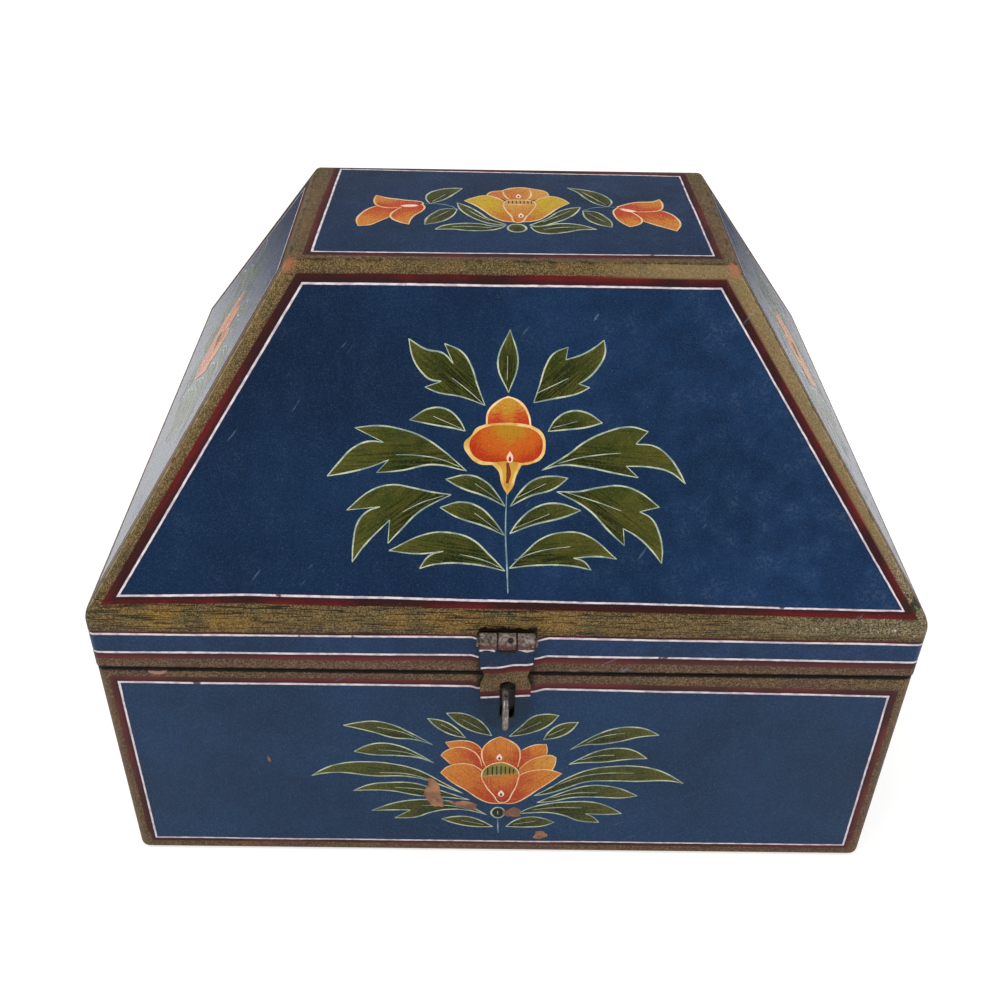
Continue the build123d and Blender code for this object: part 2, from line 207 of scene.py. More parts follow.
def make_bands_group():
    """The painted border, from a panel's edge inwards: gold, dark red, a white line, the blue field."""
    inputs = {
        "Place": ORIGIN,
        "Brushed Place": ORIGIN,
        "Inside": 0.0,
        "Red Width": 2.5,
        "White Width": 1.0,
        "Ochre": 0.0,
        "Cracked": 0.0,
        "Rosy": 0.0,
        "Scuffed": 0.0,
        "Deep Blue": DEEP_BLUE,
        "Light Blue": LIGHT_BLUE,
    }
    s, given, end = new_group("border_bands", inputs, FINISH)
    place = given["Place"]
    drift = s.times(s.minus(s.noise(place, 0.03, 1.0), 0.5), 0.6)
    shake = s.times(s.minus(s.noise(place, 0.35, 2.0), 0.5), 0.25)
    inside = s.plus(given["Inside"], s.plus(drift, shake))
    pressure = s.plus(0.82, s.times(s.noise(place, 0.06, 2.0), 0.36))
    half_line = s.times(s.times(given["White Width"], 0.5), pressure)
    outwards = s.minus(s.times(inside, -1.0), half_line)
    grit = s.noise(place, 2.2, 4.0)
    grain = s.noise(place, 0.9, 5.0)

    # The blue field: lightly clouded and brushed, with fine grit and scuffs
    cloud = s.noise(place, 0.022, 3.0)
    marks = s.noise(given["Brushed Place"], 0.6, 4.0)
    field = s.blend(s.fade(cloud, 0.3, 0.7), given["Deep Blue"], given["Light Blue"])
    mottle = s.noise(place, 0.11, 5.0)
    field = s.wash(field, marks, 0.45, 0.75, 0.12, paint(34, 60, 98))
    uneven = s.plus(0.08, s.times(given["Scuffed"], 0.22))
    field = s.blend(s.times(s.fade(mottle, 0.54, 0.36), uneven), field, paint(10, 26, 52))
    field = s.wash(field, grit, 0.48, 0.34, 0.5, paint(8, 22, 44))
    field = s.wash(field, grit, 0.54, 0.68, 0.2, paint(74, 92, 118))
    scuff = s.times(s.fade(mottle, 0.5, 0.68), s.times(s.fade(grain, 0.42, 0.66), given["Scuffed"]))
    field = s.blend(s.times(scuff, 0.17), field, paint(84, 104, 132))
    rim = s.fade(s.minus(inside, half_line), 1.0, 0.1)
    field = s.blend(s.times(rim, 0.4), field, paint(34, 28, 50))

    # The gold border: gritty and patchy, with fine black cracks along the ridge
    crack_place = s.vector("MULTIPLY", place, (0.11, 0.11, 3.0))
    cracks = s.noise(crack_place, 0.9, 4.0)
    crack = s.times(s.fade(cracks, 0.55, 0.63), given["Cracked"])
    patches = s.noise(place, 0.07, 4.0)
    gold = s.blend(s.fade(patches, 0.4, 0.6), OLIVE, GOLD)
    gold = s.blend(s.times(s.fade(patches, 0.42, 0.62), given["Ochre"]), gold, OCHRE)
    gold = s.blend(given["Rosy"], gold, paint(96, 68, 56))
    beside_red = s.fade(outwards, s.plus(given["Red Width"], 3.0), given["Red Width"])
    gold = s.blend(s.times(beside_red, 0.5), gold, paint(84, 60, 44))
    glint = s.blend(given["Rosy"], paint(160, 138, 92), paint(142, 112, 94))
    gold = s.wash(gold, grit, 0.51, 0.61, 0.55, glint)
    gold = s.wash(gold, grit, 0.49, 0.38, 0.75, paint(48, 36, 22))
    gold = s.wash(gold, grain, 0.48, 0.36, 0.45, paint(56, 42, 28))
    gold = s.blend(s.times(crack, 0.85), gold, SOOT)

    # Dark red beside the line, over a darker first coat
    red = s.blend(s.fade(s.noise(place, 0.03, 4.0), 0.44, 0.62), BROWN_RED, DARK_RED)
    red = s.wash(red, grit, 0.55, 0.7, 0.2, paint(140, 60, 50))
    red = s.wash(red, grit, 0.48, 0.32, 0.5, paint(34, 12, 14))
    spread = s.plus(0.75, s.times(s.noise(place, 0.02, 1.0), 0.5))
    red_width = s.times(given["Red Width"], spread)
    red = s.blend(s.times(given["Rosy"], 0.6), red, paint(102, 52, 50))
    red = s.blend(s.times(s.fade(outwards, s.times(red_width, 0.75), 0.2), 0.7), red, paint(36, 17, 26))
    is_gold = s.fade(s.minus(outwards, red_width), -0.3, 0.3)

    white = s.blend(s.fade(s.noise(place, 0.3, 3.0), 0.36, 0.6), paint(196, 182, 194), LINE_WHITE)
    gaps = s.times(s.fade(s.noise(place, 0.13, 4.0), 0.68, 0.71), 0.85)
    line = s.times(s.fade(s.minus(s.size(inside), half_line), 0.12, -0.12), s.minus(1.0, gaps))

    colour = s.blend(is_gold, red, gold)
    colour = s.blend(s.fade(s.minus(inside, half_line), -0.08, 0.12), colour, field)
    colour = s.blend(line, colour, white)
    in_field = s.fade(inside, 0.0, 1.0)
    rough = s.plus(s.choose(in_field, 0.46, 0.24), s.times(s.minus(grit, 0.5), 0.35))
    rough = s.plus(rough, s.times(scuff, 0.25))
    height = s.times(line, 0.05)
    height = s.plus(height, s.times(s.minus(grit, 0.5), s.choose(in_field, 0.16, 0.03)))
    height = s.plus(height, s.times(s.minus(marks, 0.5), 0.015))
    height = s.minus(height, s.times(crack, s.choose(in_field, 0.14, 0.0)))
    give(s, end, {"Colour": colour, "Roughness": rough, "Height": height})
    return s.tree


def make_wear_and_hip_highlight_group():
    """Age on painted wood: rubbed hips lit pale by a painted highlight, dirt, chips down to the primer,
    fine scratches and dust.
    """
    inputs = {**FINISH, "Place": ORIGIN, "Edge": 10.0, "Hip": 10.0, "Chips": 0.5, "Scratches": 0.5}
    s, given, end = new_group("painted_wood_wear_and_hip_highlight", inputs, FINISH)
    place = given["Place"]
    near = s.fade(given["Edge"], 2.2, 0.2)
    flake = s.noise(place, 0.17, 5.0)
    limit = s.minus(0.86, s.times(near, s.times(given["Chips"], 0.3)))
    chip = s.fade(s.minus(flake, limit), 0.0, 0.02)
    bare = s.blend(s.fade(s.noise(place, 0.6, 2.0), 0.4, 0.6), SALMON, CREAM)
    grime = s.times(s.fade(given["Edge"], 1.6, 0.0), s.fade(s.noise(place, 0.35, 3.0), 0.44, 0.64))
    # Pale cream along the hips: rubbed paint and a painted highlight on the edge
    rubbed_and_highlit = s.times(s.fade(given["Hip"], 1.0, 0.4), s.fade(s.noise(place, 0.3, 4.0), 0.34, 0.5))
    x, y, z = s.split(place)
    level = s.plus(x, y)
    slanted = s.join(s.plus(s.times(level, 0.08), s.times(z, 0.05)), s.minus(z, s.times(level, 0.6)), 0.0)
    scratch = s.fade(s.noise(slanted, 0.5, 2.0), 0.7, 0.74)
    scratch = s.times(scratch, s.times(given["Scratches"], s.fade(s.noise(place, 0.02), 0.46, 0.58)))
    dust = s.times(s.fade(s.noise(place, 1.3, 2.0), 0.75, 0.79), 0.5)
    colour = s.blend(s.times(rubbed_and_highlit, 0.7), given["Colour"], paint(190, 176, 142))
    colour = s.blend(s.times(grime, 0.75), colour, SOOT)
    colour = s.blend(s.times(scratch, 0.5), colour, paint(116, 134, 162))
    colour = s.blend(dust, colour, paint(140, 142, 146))
    colour = s.blend(chip, colour, bare)
    rough = s.choose(chip, given["Roughness"], 0.8)
    rough = s.choose(s.times(grime, 0.6), rough, 0.75)
    height = s.minus(given["Height"], s.times(chip, 0.14))
    height = s.minus(height, s.times(scratch, 0.02))
    give(s, end, {"Colour": colour, "Roughness": rough, "Height": height})
    return s.tree


def make_grain_group():
    """Plain sawn wood with its grain along one axis of the place that is given."""
    inputs = {"Place": ORIGIN, "Light": paint(170, 128, 84), "Dark": paint(104, 70, 42)}
    s, given, end = new_group("sawn_wood", inputs, FINISH)
    stretched = s.vector("MULTIPLY", given["Place"], (0.08, 1.0, 1.0))
    warp = s.times(s.noise(stretched, 0.04, 2.0), 9.0)
    rings = s.calc("FRACT", s.plus(warp, s.times(s.noise(stretched, 0.012, 1.0), 14.0)))
    ring = s.times(s.fade(rings, 0.0, 0.75), s.fade(rings, 1.0, 0.9))
    fibre = s.noise(stretched, 1.6, 4.0)
    pore = s.fade(s.noise(stretched, 3.2, 2.0), 0.62, 0.72)
    colour = s.blend(s.times(ring, 0.5), given["Light"], given["Dark"])
    colour = s.wash(colour, fibre, 0.4, 0.7, 0.35, given["Dark"])
    colour = s.blend(s.times(pore, 0.6), colour, paint(52, 34, 22))
    stain = s.fade(s.noise(given["Place"], 0.01, 3.0), 0.5, 0.75)
    colour = s.blend(s.times(stain, 0.35), colour, paint(70, 52, 38))
    rough = s.plus(0.62, s.times(fibre, 0.25))
    height = s.minus(s.times(fibre, 0.12), s.times(pore, 0.14))
    give(s, end, {"Colour": colour, "Roughness": rough, "Height": height})
    return s.tree


def make_iron_group():
    """Old sheet and wire iron: dull grey, rubbed brighter, with rust in patches."""
    inputs = {"Place": ORIGIN, "Rust": 0.4, "Bright": 0.4}
    outputs = {**FINISH, "Metallic": 1.0}
    s, given, end = new_group("old_iron", inputs, outputs)
    place = given["Place"]
    mottle = s.noise(place, 0.5, 4.0)
    fine = s.noise(place, 3.0, 3.0)
    iron = s.blend(s.fade(mottle, 0.35, 0.65), paint(86, 80, 76), paint(138, 130, 124))
    iron = s.blend(s.times(s.fade(fine, 0.45, 0.7), given["Bright"]), iron, paint(206, 200, 194))
    rusty = s.times(s.fade(s.noise(place, 0.28, 5.0), 0.5, 0.62), given["Rust"])
    rust = s.blend(s.fade(fine, 0.35, 0.65), paint(70, 38, 26), paint(112, 62, 40))
    colour = s.blend(rusty, iron, rust)
    rough = s.plus(s.choose(rusty, 0.36, 0.85), s.times(s.minus(fine, 0.5), 0.25))
    height = s.plus(s.times(fine, 0.05), s.times(mottle, 0.08))
    metal = s.minus(0.95, s.times(rusty, 0.9))
    results = {"Colour": colour, "Roughness": rough, "Height": height, "Metallic": metal}
    give(s, end, results)
    return s.tree


BANDS = make_bands_group()
WEAR_AND_HIP_HIGHLIGHT = make_wear_and_hip_highlight_group()
GRAIN = make_grain_group()
IRON = make_iron_group()


def new_material(name):
    """A material with its sketch, its shader, and this object's coordinates in millimetres."""
    made = bpy.data.materials.new(name)
    made.use_nodes = True
    sketch = Sketch(made.node_tree)
    shader = made.node_tree.nodes["Principled BSDF"]
    coordinates = sketch.node("TexCoord", {})
    place = sketch.vector("MULTIPLY", coordinates.outputs["Object"], (1000.0, 1000.0, 1000.0))
    return made, sketch, shader, place


def connect(sketch, shader, finish, strength=1.0):
    """Colour, roughness and a bump whose height is in millimetres, into the material's shader."""
    bump = sketch.node("Bump", {"Height": finish["Height"], "Distance": MM, "Strength": strength})
    sketch.tree.links.new(finish["Colour"], shader.inputs["Base Color"])
    sketch.tree.links.new(finish["Roughness"], shader.inputs["Roughness"])
    sketch.tree.links.new(bump.outputs[0], shader.inputs["Normal"])


def facing(sketch):
    """1 where the surface looks left or right, 0 where it looks to front or back; then its upward part."""
    coordinates = sketch.node("TexCoord", {})
    x, y, z = sketch.split(coordinates.outputs["Normal"])
    sideways = sketch.calc("GREATER_THAN", sketch.size(x), sketch.size(y))
    return sideways, z


def brushed(sketch, place, sideways):
    """The place, drawn out up and down each face, for brush marks."""
    across = sketch.vector("MULTIPLY", place, (1.0, 0.16, 0.16))
    side = sketch.vector("MULTIPLY", place, (0.16, 1.0, 0.16))
    return sketch.choose_place(sideways, across, side)


def smallest(sketch, values):
    least = values[0]
    for value in values[1:]:
        least = sketch.calc("MINIMUM", least, value)
    return least


def with_the_grain(sketch, place, from_side, from_front):
    """The place for sawn wood, turned on the side boards so that their grain runs from front to back."""
    x, y, z = sketch.split(place)
    on_side = sketch.calc("LESS_THAN", from_side, from_front)
    return sketch.choose_place(on_side, place, sketch.join(y, x, z))


def in_millimetres(*lengths):
    return [length * 1000 for length in lengths]


def varnished(made, sketch, shader, finish):
    """Ends a paint: its finish, under the soft shine of old varnish."""
    connect(sketch, shader, finish)
    shader.inputs["Specular IOR Level"].default_value = VARNISH
    return made


def satin(sketch, grain):
    """The roughness of brushed paint, duller where its grain is coarse."""
    return sketch.plus(0.27, sketch.times(sketch.minus(grain, 0.5), 0.3))


def recoloured(finish, colour):
    return {"Colour": colour, "Roughness": finish["Roughness"], "Height": finish["Height"]}


def with_wear_and_hip_highlight(sketch, finish, settings):
    """A finish with the age of painted wood over it, and a painted highlight along any hip."""
    inputs = {name: finish[name] for name in FINISH}
    return sketch.effect(WEAR_AND_HIP_HIGHLIGHT, {**inputs, **settings})


def mix_finish(sketch, share, first, second):
    """Two finishes, one over the other where share is 1."""
    return {
        "Colour": sketch.blend(share, first["Colour"], second["Colour"]),
        "Roughness": sketch.choose(share, first["Roughness"], second["Roughness"]),
        "Height": sketch.choose(share, first["Height"], second["Height"]),
    }


def hasp_dip(sketch, x):
    """How far the front's lines drop where the brush met the hasp, less on the left than on the right."""
    right = sketch.times(sketch.fade(x, 15.5, 9.8), 1.5)
    left = sketch.times(sketch.fade(x, -13.0, -9.8), 1.0)
    return sketch.choose(sketch.fade(x, -1.0, 1.0), left, right)


def make_base_paint():
    """The four upright boards of the base: one bordered panel on each side, bare inside."""
    made, s, shader, place = new_material("base_paint")
    wide, deep, high = in_millimetres(half_width, half_depth, base_top)
    sideways, upward = facing(s)
    x, y, z = s.split(place)
    level = s.choose(sideways, x, y)
    half = s.choose(sideways, wide, deep)
    to_side = s.minus(half, s.size(level))
    front = s.times(s.minus(1.0, sideways), s.fade(y, 0.0, -1.0))
    step = s.fade(x, -10.0, 12.0)
    fall = s.times(s.calc("MAXIMUM", x, 0.0), 0.0125)
    top_drop = s.times(s.plus(s.plus(step, fall), hasp_dip(s, x)), front)
    from_top = s.minus(s.minus(BASE_TOP_LINE, top_drop), z)
    from_foot = s.minus(z, BASE_FOOT_LINE)
    inside = smallest(s, [s.minus(to_side, BASE_SIDE_LINE), from_top, from_foot])
    is_low = s.fade(z, 12.0, 8.0)
    inputs = {
        "Place": place,
        "Brushed Place": brushed(s, place, sideways),
        "Inside": inside,
        "Red Width": s.choose(is_low, 2.6, 1.6),
        "White Width": s.choose(s.fade(z, 90.0, 94.0), 0.75, 0.95),
        "Ochre": 0.0,
        "Cracked": 0.25,
        "Rosy": s.plus(0.35, s.times(s.fade(s.noise(place, 0.03, 3.0), 0.4, 0.6), 0.45)),
        "Scuffed": 0.2,
        "Deep Blue": paint(19, 48, 78),
        "Light Blue": paint(24, 58, 94),
    }
    bands = s.effect(BANDS, inputs)
    edge = smallest(s, [to_side, s.minus(high, z), z])
    age = {"Place": place, "Edge": edge, "Hip": FAR_AWAY, "Chips": 0.4, "Scratches": 0.35}
    worn = with_wear_and_hip_highlight(s, bands, age)

    # A flake out of the top edge, near the left end of the front
    ragged = s.minus(s.noise(place, 0.7, 4.0), 0.5)
    flake_side = s.calc("DIVIDE", s.minus(x, BASE_FLAKE_X), 3.3)
    flake_up = s.calc("DIVIDE", s.minus(z, high - 0.8), 1.9)
    flake = s.calc("SQRT", s.plus(s.times(flake_side, flake_side), s.times(flake_up, flake_up)))
    flake = s.times(s.fade(s.plus(flake, s.times(ragged, 0.5)), 1.05, 0.9), front)
    colour = s.blend(flake, worn["Colour"], paint(160, 122, 102))

    # Black along the seam under the lid, behind the hasp's slot and beside its waist: painted shade, with
    # some dirt
    seam = s.fade(s.plus(z, s.times(ragged, 1.6)), high - 1.2, high - 0.6)
    beside_slot = s.fade(s.plus(s.size(s.minus(x, 0.9)), s.times(ragged, 2.5)), 4.8, 3.6)
    beside_slot = s.times(s.times(beside_slot, s.fade(z, 76.5, 79.0)), front)
    waist = s.fade(s.plus(s.size(x), s.times(ragged, 3.0)), 11.4, 9.6)
    waist = s.times(s.times(waist, s.fade(z, 96.0, 98.5)), front)
    dirt_and_shade = s.calc("MAXIMUM", seam, s.calc("MAXIMUM", beside_slot, s.times(waist, 0.8)))
    colour = s.blend(s.times(dirt_and_shade, 0.95), colour, paint(12, 7, 5))
    painted = recoloured(worn, colour)

    from_side, from_front = s.minus(wide, s.size(x)), s.minus(deep, s.size(y))
    grain = s.effect(GRAIN, {"Place": with_the_grain(s, place, from_side, from_front)})
    within = s.calc("MINIMUM", from_side, from_front)
    bare = s.calc("MAXIMUM", s.fade(within, 2.0, 3.2), s.fade(s.size(upward), 0.8, 0.95))
    # The rim's outer edge, seen in the gap under the lid, darkened: painted shade
    rim_shade_in_gap = s.times(s.fade(within, 5.0, 1.0), s.fade(z, high - 1.0, high - 0.5))
    rim = recoloured(grain, s.blend(s.times(rim_shade_in_gap, 0.95), grain["Colour"], paint(14, 8, 6)))
    finish = mix_finish(s, bare, painted, rim)
    return varnished(made, s, shader, finish)


def make_lid_paint():
    """The lid's rails, slopes and top: striped skirt, four bordered slopes and a bordered flat top."""
    made, s, shader, place = new_material("lid_paint")
    wide, deep, low, bend, high = in_millimetres(half_width, half_depth, skirt_low, ridge, lid_top)
    top_wide, top_deep, top_board = in_millimetres(top_half_width, top_half_depth, top_low.z)
    sideways, upward = facing(s)
    x, y, z = s.split(place)
    out_x, out_y = s.size(x), s.size(y)
    is_front = s.times(s.minus(1.0, sideways), s.fade(y, 0.0, -1.0))

    # Distances on a slope: up from the ridge, down from the top, and in from the hip
    sine = s.choose(sideways, rise / front_length, rise / side_length)
    height_up = s.minus(z, bend)
    up_slope = s.calc("DIVIDE", height_up, sine)
    down_slope = s.calc("DIVIDE", s.minus(high, z), sine)
    reach_x = s.minus(wide, s.times(height_up, side_run / rise))
    reach_y = s.minus(deep, s.times(height_up, front_run / rise))
    hip_on_front = math.cos(math.atan2(side_run, front_length))
    hip_on_side = math.cos(math.atan2(front_run, side_length))
    from_hip = s.choose(
        sideways,
        s.times(s.minus(reach_x, out_x), hip_on_front),
        s.times(s.minus(reach_y, out_y), hip_on_side),
    )
    on_right = s.times(s.fade(x, -1.0, 1.0), is_front)
    hip_lean = s.choose(on_right, 0.0125, 0.024)
    hip_line = s.plus(s.choose(on_right, LEFT_HIP_LINE, RIGHT_HIP_LINE), s.times(up_slope, hip_lean))
    rising = s.minus(7.3, s.times(x, 0.0125))
    foot_line = s.choose(is_front, 7.4, s.calc("MINIMUM", rising, s.plus(10.2, s.times(x, 0.02))))
    from_top_line = s.minus(down_slope, SLOPE_TOP_LINE)
    slope_inside = smallest(s, [s.minus(from_hip, hip_line), s.minus(up_slope, foot_line), from_top_line])

    # The flat top, whose lines lean a little
    on_left = s.fade(x, 1.0, -1.0)
    left_line = s.minus(s.minus(x, TOP_LEFT_LINE), s.times(y, 0.027))
    right_line = s.minus(s.minus(TOP_RIGHT_LINE, x), s.times(y, 0.03))
    front_line = s.minus(s.minus(y, TOP_FRONT_LINE), s.times(x, 0.007))
    back_line = s.minus(s.minus(TOP_BACK_LINE, y), s.times(x, 0.02))
    top_inside = smallest(s, [s.choose(on_left, right_line, left_line), front_line, back_line])
    top_edge = s.calc("MINIMUM", s.minus(top_wide, out_x), s.minus(top_deep, out_y))

    # The skirt, with one white line above its blue stripe and one below
    dip = s.times(hasp_dip(s, x), is_front)
    sag = s.times(out_x, s.choose(s.fade(x, -1.0, 1.0), 0.005, 0.0085))
    along = s.plus(s.plus(z, dip), s.times(sag, is_front))
    skirt_inside = s.calc("MINIMUM", s.minus(SKIRT_HIGH_LINE, along), s.minus(along, SKIRT_LOW_LINE))

    is_top = s.fade(upward, 0.82, 0.9)
    is_slope = s.fade(z, bend - 1.5, bend - 1.4)
    inside = s.choose(is_top, s.choose(is_slope, skirt_inside, slope_inside), top_inside)
    upper_skirt = s.times(s.minus(1.0, is_slope), s.fade(along, 116.0, 118.0))
    not_top = s.minus(1.0, is_top)
    beside_hip = s.times(s.fade(s.minus(from_hip, up_slope), 0.5, -0.5), s.times(is_slope, not_top))
    red_width = s.choose(upper_skirt, s.choose(beside_hip, 2.7, 3.4), 1.0)
    strip = s.times(s.fade(up_slope, 10.0, 6.0), s.fade(z, 121.5, 123.0))
    first_patch = s.times(s.fade(s.size(s.plus(x, 114.0)), 34.0, 12.0), 0.9)
    other_patch = s.times(s.fade(s.size(s.plus(x, 4.0)), 64.0, 24.0), 0.6)
    ochre_patch = s.times(s.calc("MAXIMUM", first_patch, other_patch), is_front)
    top_front = s.times(s.fade(down_slope, 9.0, 8.0), s.minus(1.0, beside_hip))
    # The blue lightens from left to right across the front slope: painted light. The skirt takes the
    # lighter blue, the other faces the middle tone.
    to_right = s.choose(s.times(is_front, not_top), 0.5, s.fade(x, -120.0, 130.0))
    blue_painted_light = s.choose(is_slope, 1.0, to_right)
    inputs = {
        "Place": place,
        "Brushed Place": brushed(s, place, sideways),
        "Inside": inside,
        "Red Width": red_width,
        "White Width": s.choose(is_slope, 0.9, s.minus(0.78, s.times(s.fade(x, -40.0, 90.0), 0.16))),
        "Ochre": s.times(s.times(ochre_patch, strip), not_top),
        "Cracked": s.times(s.calc("MAXIMUM", strip, s.times(top_front, 0.6)), not_top),
        "Rosy": s.calc("MAXIMUM", s.times(s.fade(z, 115.0, 112.0), 0.75), s.times(is_top, 0.35)),
        "Scuffed": s.plus(0.35, s.times(s.fade(x, -20.0, 90.0), 0.65)),
        "Deep Blue": s.blend(blue_painted_light, paint(14, 35, 62), paint(20, 48, 80)),
        "Light Blue": s.blend(blue_painted_light, paint(19, 45, 76), paint(27, 58, 97)),
    }
    bands = s.effect(BANDS, inputs)
    skirt_side = s.minus(s.choose(sideways, wide, deep), s.choose(sideways, out_x, out_y))
    skirt_edge = s.calc("MINIMUM", skirt_side, s.minus(z, low))
    slope_edge = s.calc("MINIMUM", from_hip, down_slope)
    edge = s.choose(is_top, s.choose(is_slope, skirt_edge, slope_edge), top_edge)
    hip = s.choose(is_top, s.choose(is_slope, FAR_AWAY, from_hip), FAR_AWAY)
    age = {"Place": place, "Edge": edge, "Hip": hip, "Chips": 0.45, "Scratches": 0.9}
    worn = with_wear_and_hip_highlight(s, bands, age)

    # Paler, rubbed gold on the right hip, speckled grey towards the right end of the front ridge
    ragged = s.minus(s.noise(place, 0.6, 4.0), 0.5)
    speckle = s.noise(place, 1.7, 6.0)
    border = s.times(s.fade(inside, -2.8, -3.6), s.times(is_front, not_top))
    right_hip = s.times(s.times(s.fade(x, 20.0, 60.0), border), beside_hip)
    colour = s.blend(s.times(right_hip, 0.3), worn["Colour"], paint(176, 152, 108))
    aged = s.times(s.times(s.fade(x, 60.0, 140.0), s.fade(up_slope, 34.0, 12.0)), border)
    aged = s.times(aged, s.fade(z, 123.0, 126.0))
    pale = s.blend(s.fade(speckle, 0.4, 0.64), paint(60, 54, 38), paint(160, 148, 116))
    colour = s.blend(s.times(aged, 0.75), colour, pale)
    flecks = s.times(aged, s.fade(s.noise(place, 0.9, 3.0), 0.66, 0.7))
    colour = s.blend(s.times(flecks, 0.8), colour, paint(206, 200, 186))
    from_spot = s.distance(place, DARK_SPOT)
    spot = s.fade(s.plus(from_spot, s.times(ragged, 9.0)), 3.6, 2.2)
    colour = s.blend(s.times(spot, 0.85), colour, paint(30, 34, 24))
    from_corner = s.distance(s.join(out_x, y, z), KNOCKED_CORNER)
    knocked = s.fade(s.plus(from_corner, s.times(ragged, 9.0)), 3.6, 1.8)
    colour = s.blend(s.times(knocked, 0.6), colour, paint(170, 104, 74))

    # Soot and rubbed paint round the knuckles of the hasp, also standing for the shade between them;
    # beside the hasp below them and in the seam at the skirt's foot, painted shade with some dirt
    halo_side = s.plus(out_x, s.times(ragged, 2.4))
    halo_up = s.plus(s.size(s.minus(z, 121.0)), s.times(ragged, 4.6))
    halo = s.calc("MAXIMUM", s.minus(halo_side, 10.2), s.minus(halo_up, 5.2))
    halo = s.times(s.fade(halo, 0.8, 0.0), s.fade(z, 116.0, 118.0))
    halo = s.times(halo, is_front)
    below_lid = s.times(s.fade(s.plus(out_x, s.times(ragged, 3.0)), 11.4, 9.6), s.fade(z, 112.0, 108.0))
    below_lid = s.times(s.times(below_lid, is_front), 0.8)
    seam = s.fade(s.plus(z, s.times(ragged, 1.4)), low + 1.3, low + 0.7)
    dirt_and_shade = s.calc("MAXIMUM", s.calc("MAXIMUM", halo, seam), below_lid)
    colour = s.blend(s.times(dirt_and_shade, 0.95), colour, paint(12, 7, 5))

    outer_x = s.calc("MINIMUM", wide, reach_x)
    outer_y = s.calc("MINIMUM", deep, reach_y)
    from_side, from_front = s.minus(outer_x, out_x), s.minus(outer_y, out_y)
    below = s.calc("MINIMUM", from_side, from_front)
    # The rail's underside, seen in the gap above the base, darkened near its outer edge: painted shade
    rim_shade_in_gap = s.times(s.fade(below, 5.0, 1.0), s.fade(z, low + 1.0, low + 0.5))
    below = s.calc("MINIMUM", below, s.minus(high, z))
    bare = s.calc("MAXIMUM", s.fade(below, 2.2, 3.2), s.fade(upward, -0.6, -0.85))
    on_top_board = s.times(s.fade(z, top_board - 0.2, top_board - 0.1), wide)
    grain_place = with_the_grain(s, place, s.plus(from_side, on_top_board), from_front)
    grain = s.effect(GRAIN, {"Place": grain_place})
    rim = recoloured(grain, s.blend(s.times(rim_shade_in_gap, 0.95), grain["Colour"], paint(14, 8, 6)))
    painted = recoloured(worn, colour)
    finish = mix_finish(s, bare, painted, rim)
    return varnished(made, s, shader, finish)


def make_bare_wood():
    made, s, shader, place = new_material("bare_wood_grain")
    connect(s, shader, s.effect(GRAIN, {"Place": place}))
    return made


def make_iron(name, rust, bright):
    made, s, shader, place = new_material(name)
    iron = s.effect(IRON, {"Place": place, "Rust": rust, "Bright": bright})
    connect(s, shader, iron)
    s.tree.links.new(iron["Metallic"], shader.inputs["Metallic"])
    return made


def worn_and_highlit_knuckles(s, place, under):
    """Dull brown iron on the hasp's knuckles, rubbed bare in patches, pale on top from a painted
    highlight, with old red and white left low down.
    """
    _, _, z = s.split(place)
    iron = s.effect(IRON, {"Place": place, "Rust": 0.35, "Bright": 0.5})
    ragged = s.minus(s.noise(place, 0.6, 4.0), 0.5)
    fine = s.noise(place, 0.9, 4.0)
    bare = s.times(s.fade(fine, 0.38, 0.58), 0.6)
    tarnish = s.blend(0.95, under["Colour"], paint(92, 76, 68))
    finish = mix_finish(s, bare, {**under, "Colour": tarnish}, iron)
    # A painted highlight: the knuckles' tops made pale
    pale = s.times(s.fade(fine, 0.36, 0.7), s.fade(s.plus(z, s.times(ragged, 3.0)), 123.4, 125.0))
    colour = s.blend(s.times(pale, 0.75), finish["Colour"], paint(164, 152, 142))
    old_red = s.fade(s.plus(z, s.times(ragged, 3.0)), 124.2, 123.0)
    colour = s.blend(s.times(old_red, 0.75), colour, paint(88, 26, 24))
    flecks = s.times(s.fade(s.noise(place, 0.8, 3.0), 0.62, 0.68), s.fade(z, 124.4, 123.2))
    colour = s.blend(s.times(flecks, 0.75), colour, paint(206, 196, 190))
    covered = s.calc("MAXIMUM", pale, s.calc("MAXIMUM", old_red, flecks))
    metal = s.times(s.times(bare, s.minus(1.0, covered)), iron["Metallic"])
    return {**finish, "Colour": colour, "Metallic": metal}


def make_strap_paint():
    """The hasp's middle knuckle, pale on top from a painted highlight, with the dark end of its pin's
    rivet on it.
    """
    made, s, shader, place = new_material("strap_paint")
    under = {"Colour": paint(60, 44, 38), "Roughness": 0.6, "Height": 0.0}
    finish = worn_and_highlit_knuckles(s, place, under)
    rivet = s.fade(s.distance(place, RIVET), 1.25, 0.95)
    colour = s.blend(s.times(rivet, 0.92), finish["Colour"], paint(16, 12, 12))
    s.tree.links.new(s.times(finish["Metallic"], s.minus(1.0, rivet)), shader.inputs["Metallic"])
    return varnished(made, s, shader, recoloured(finish, colour))


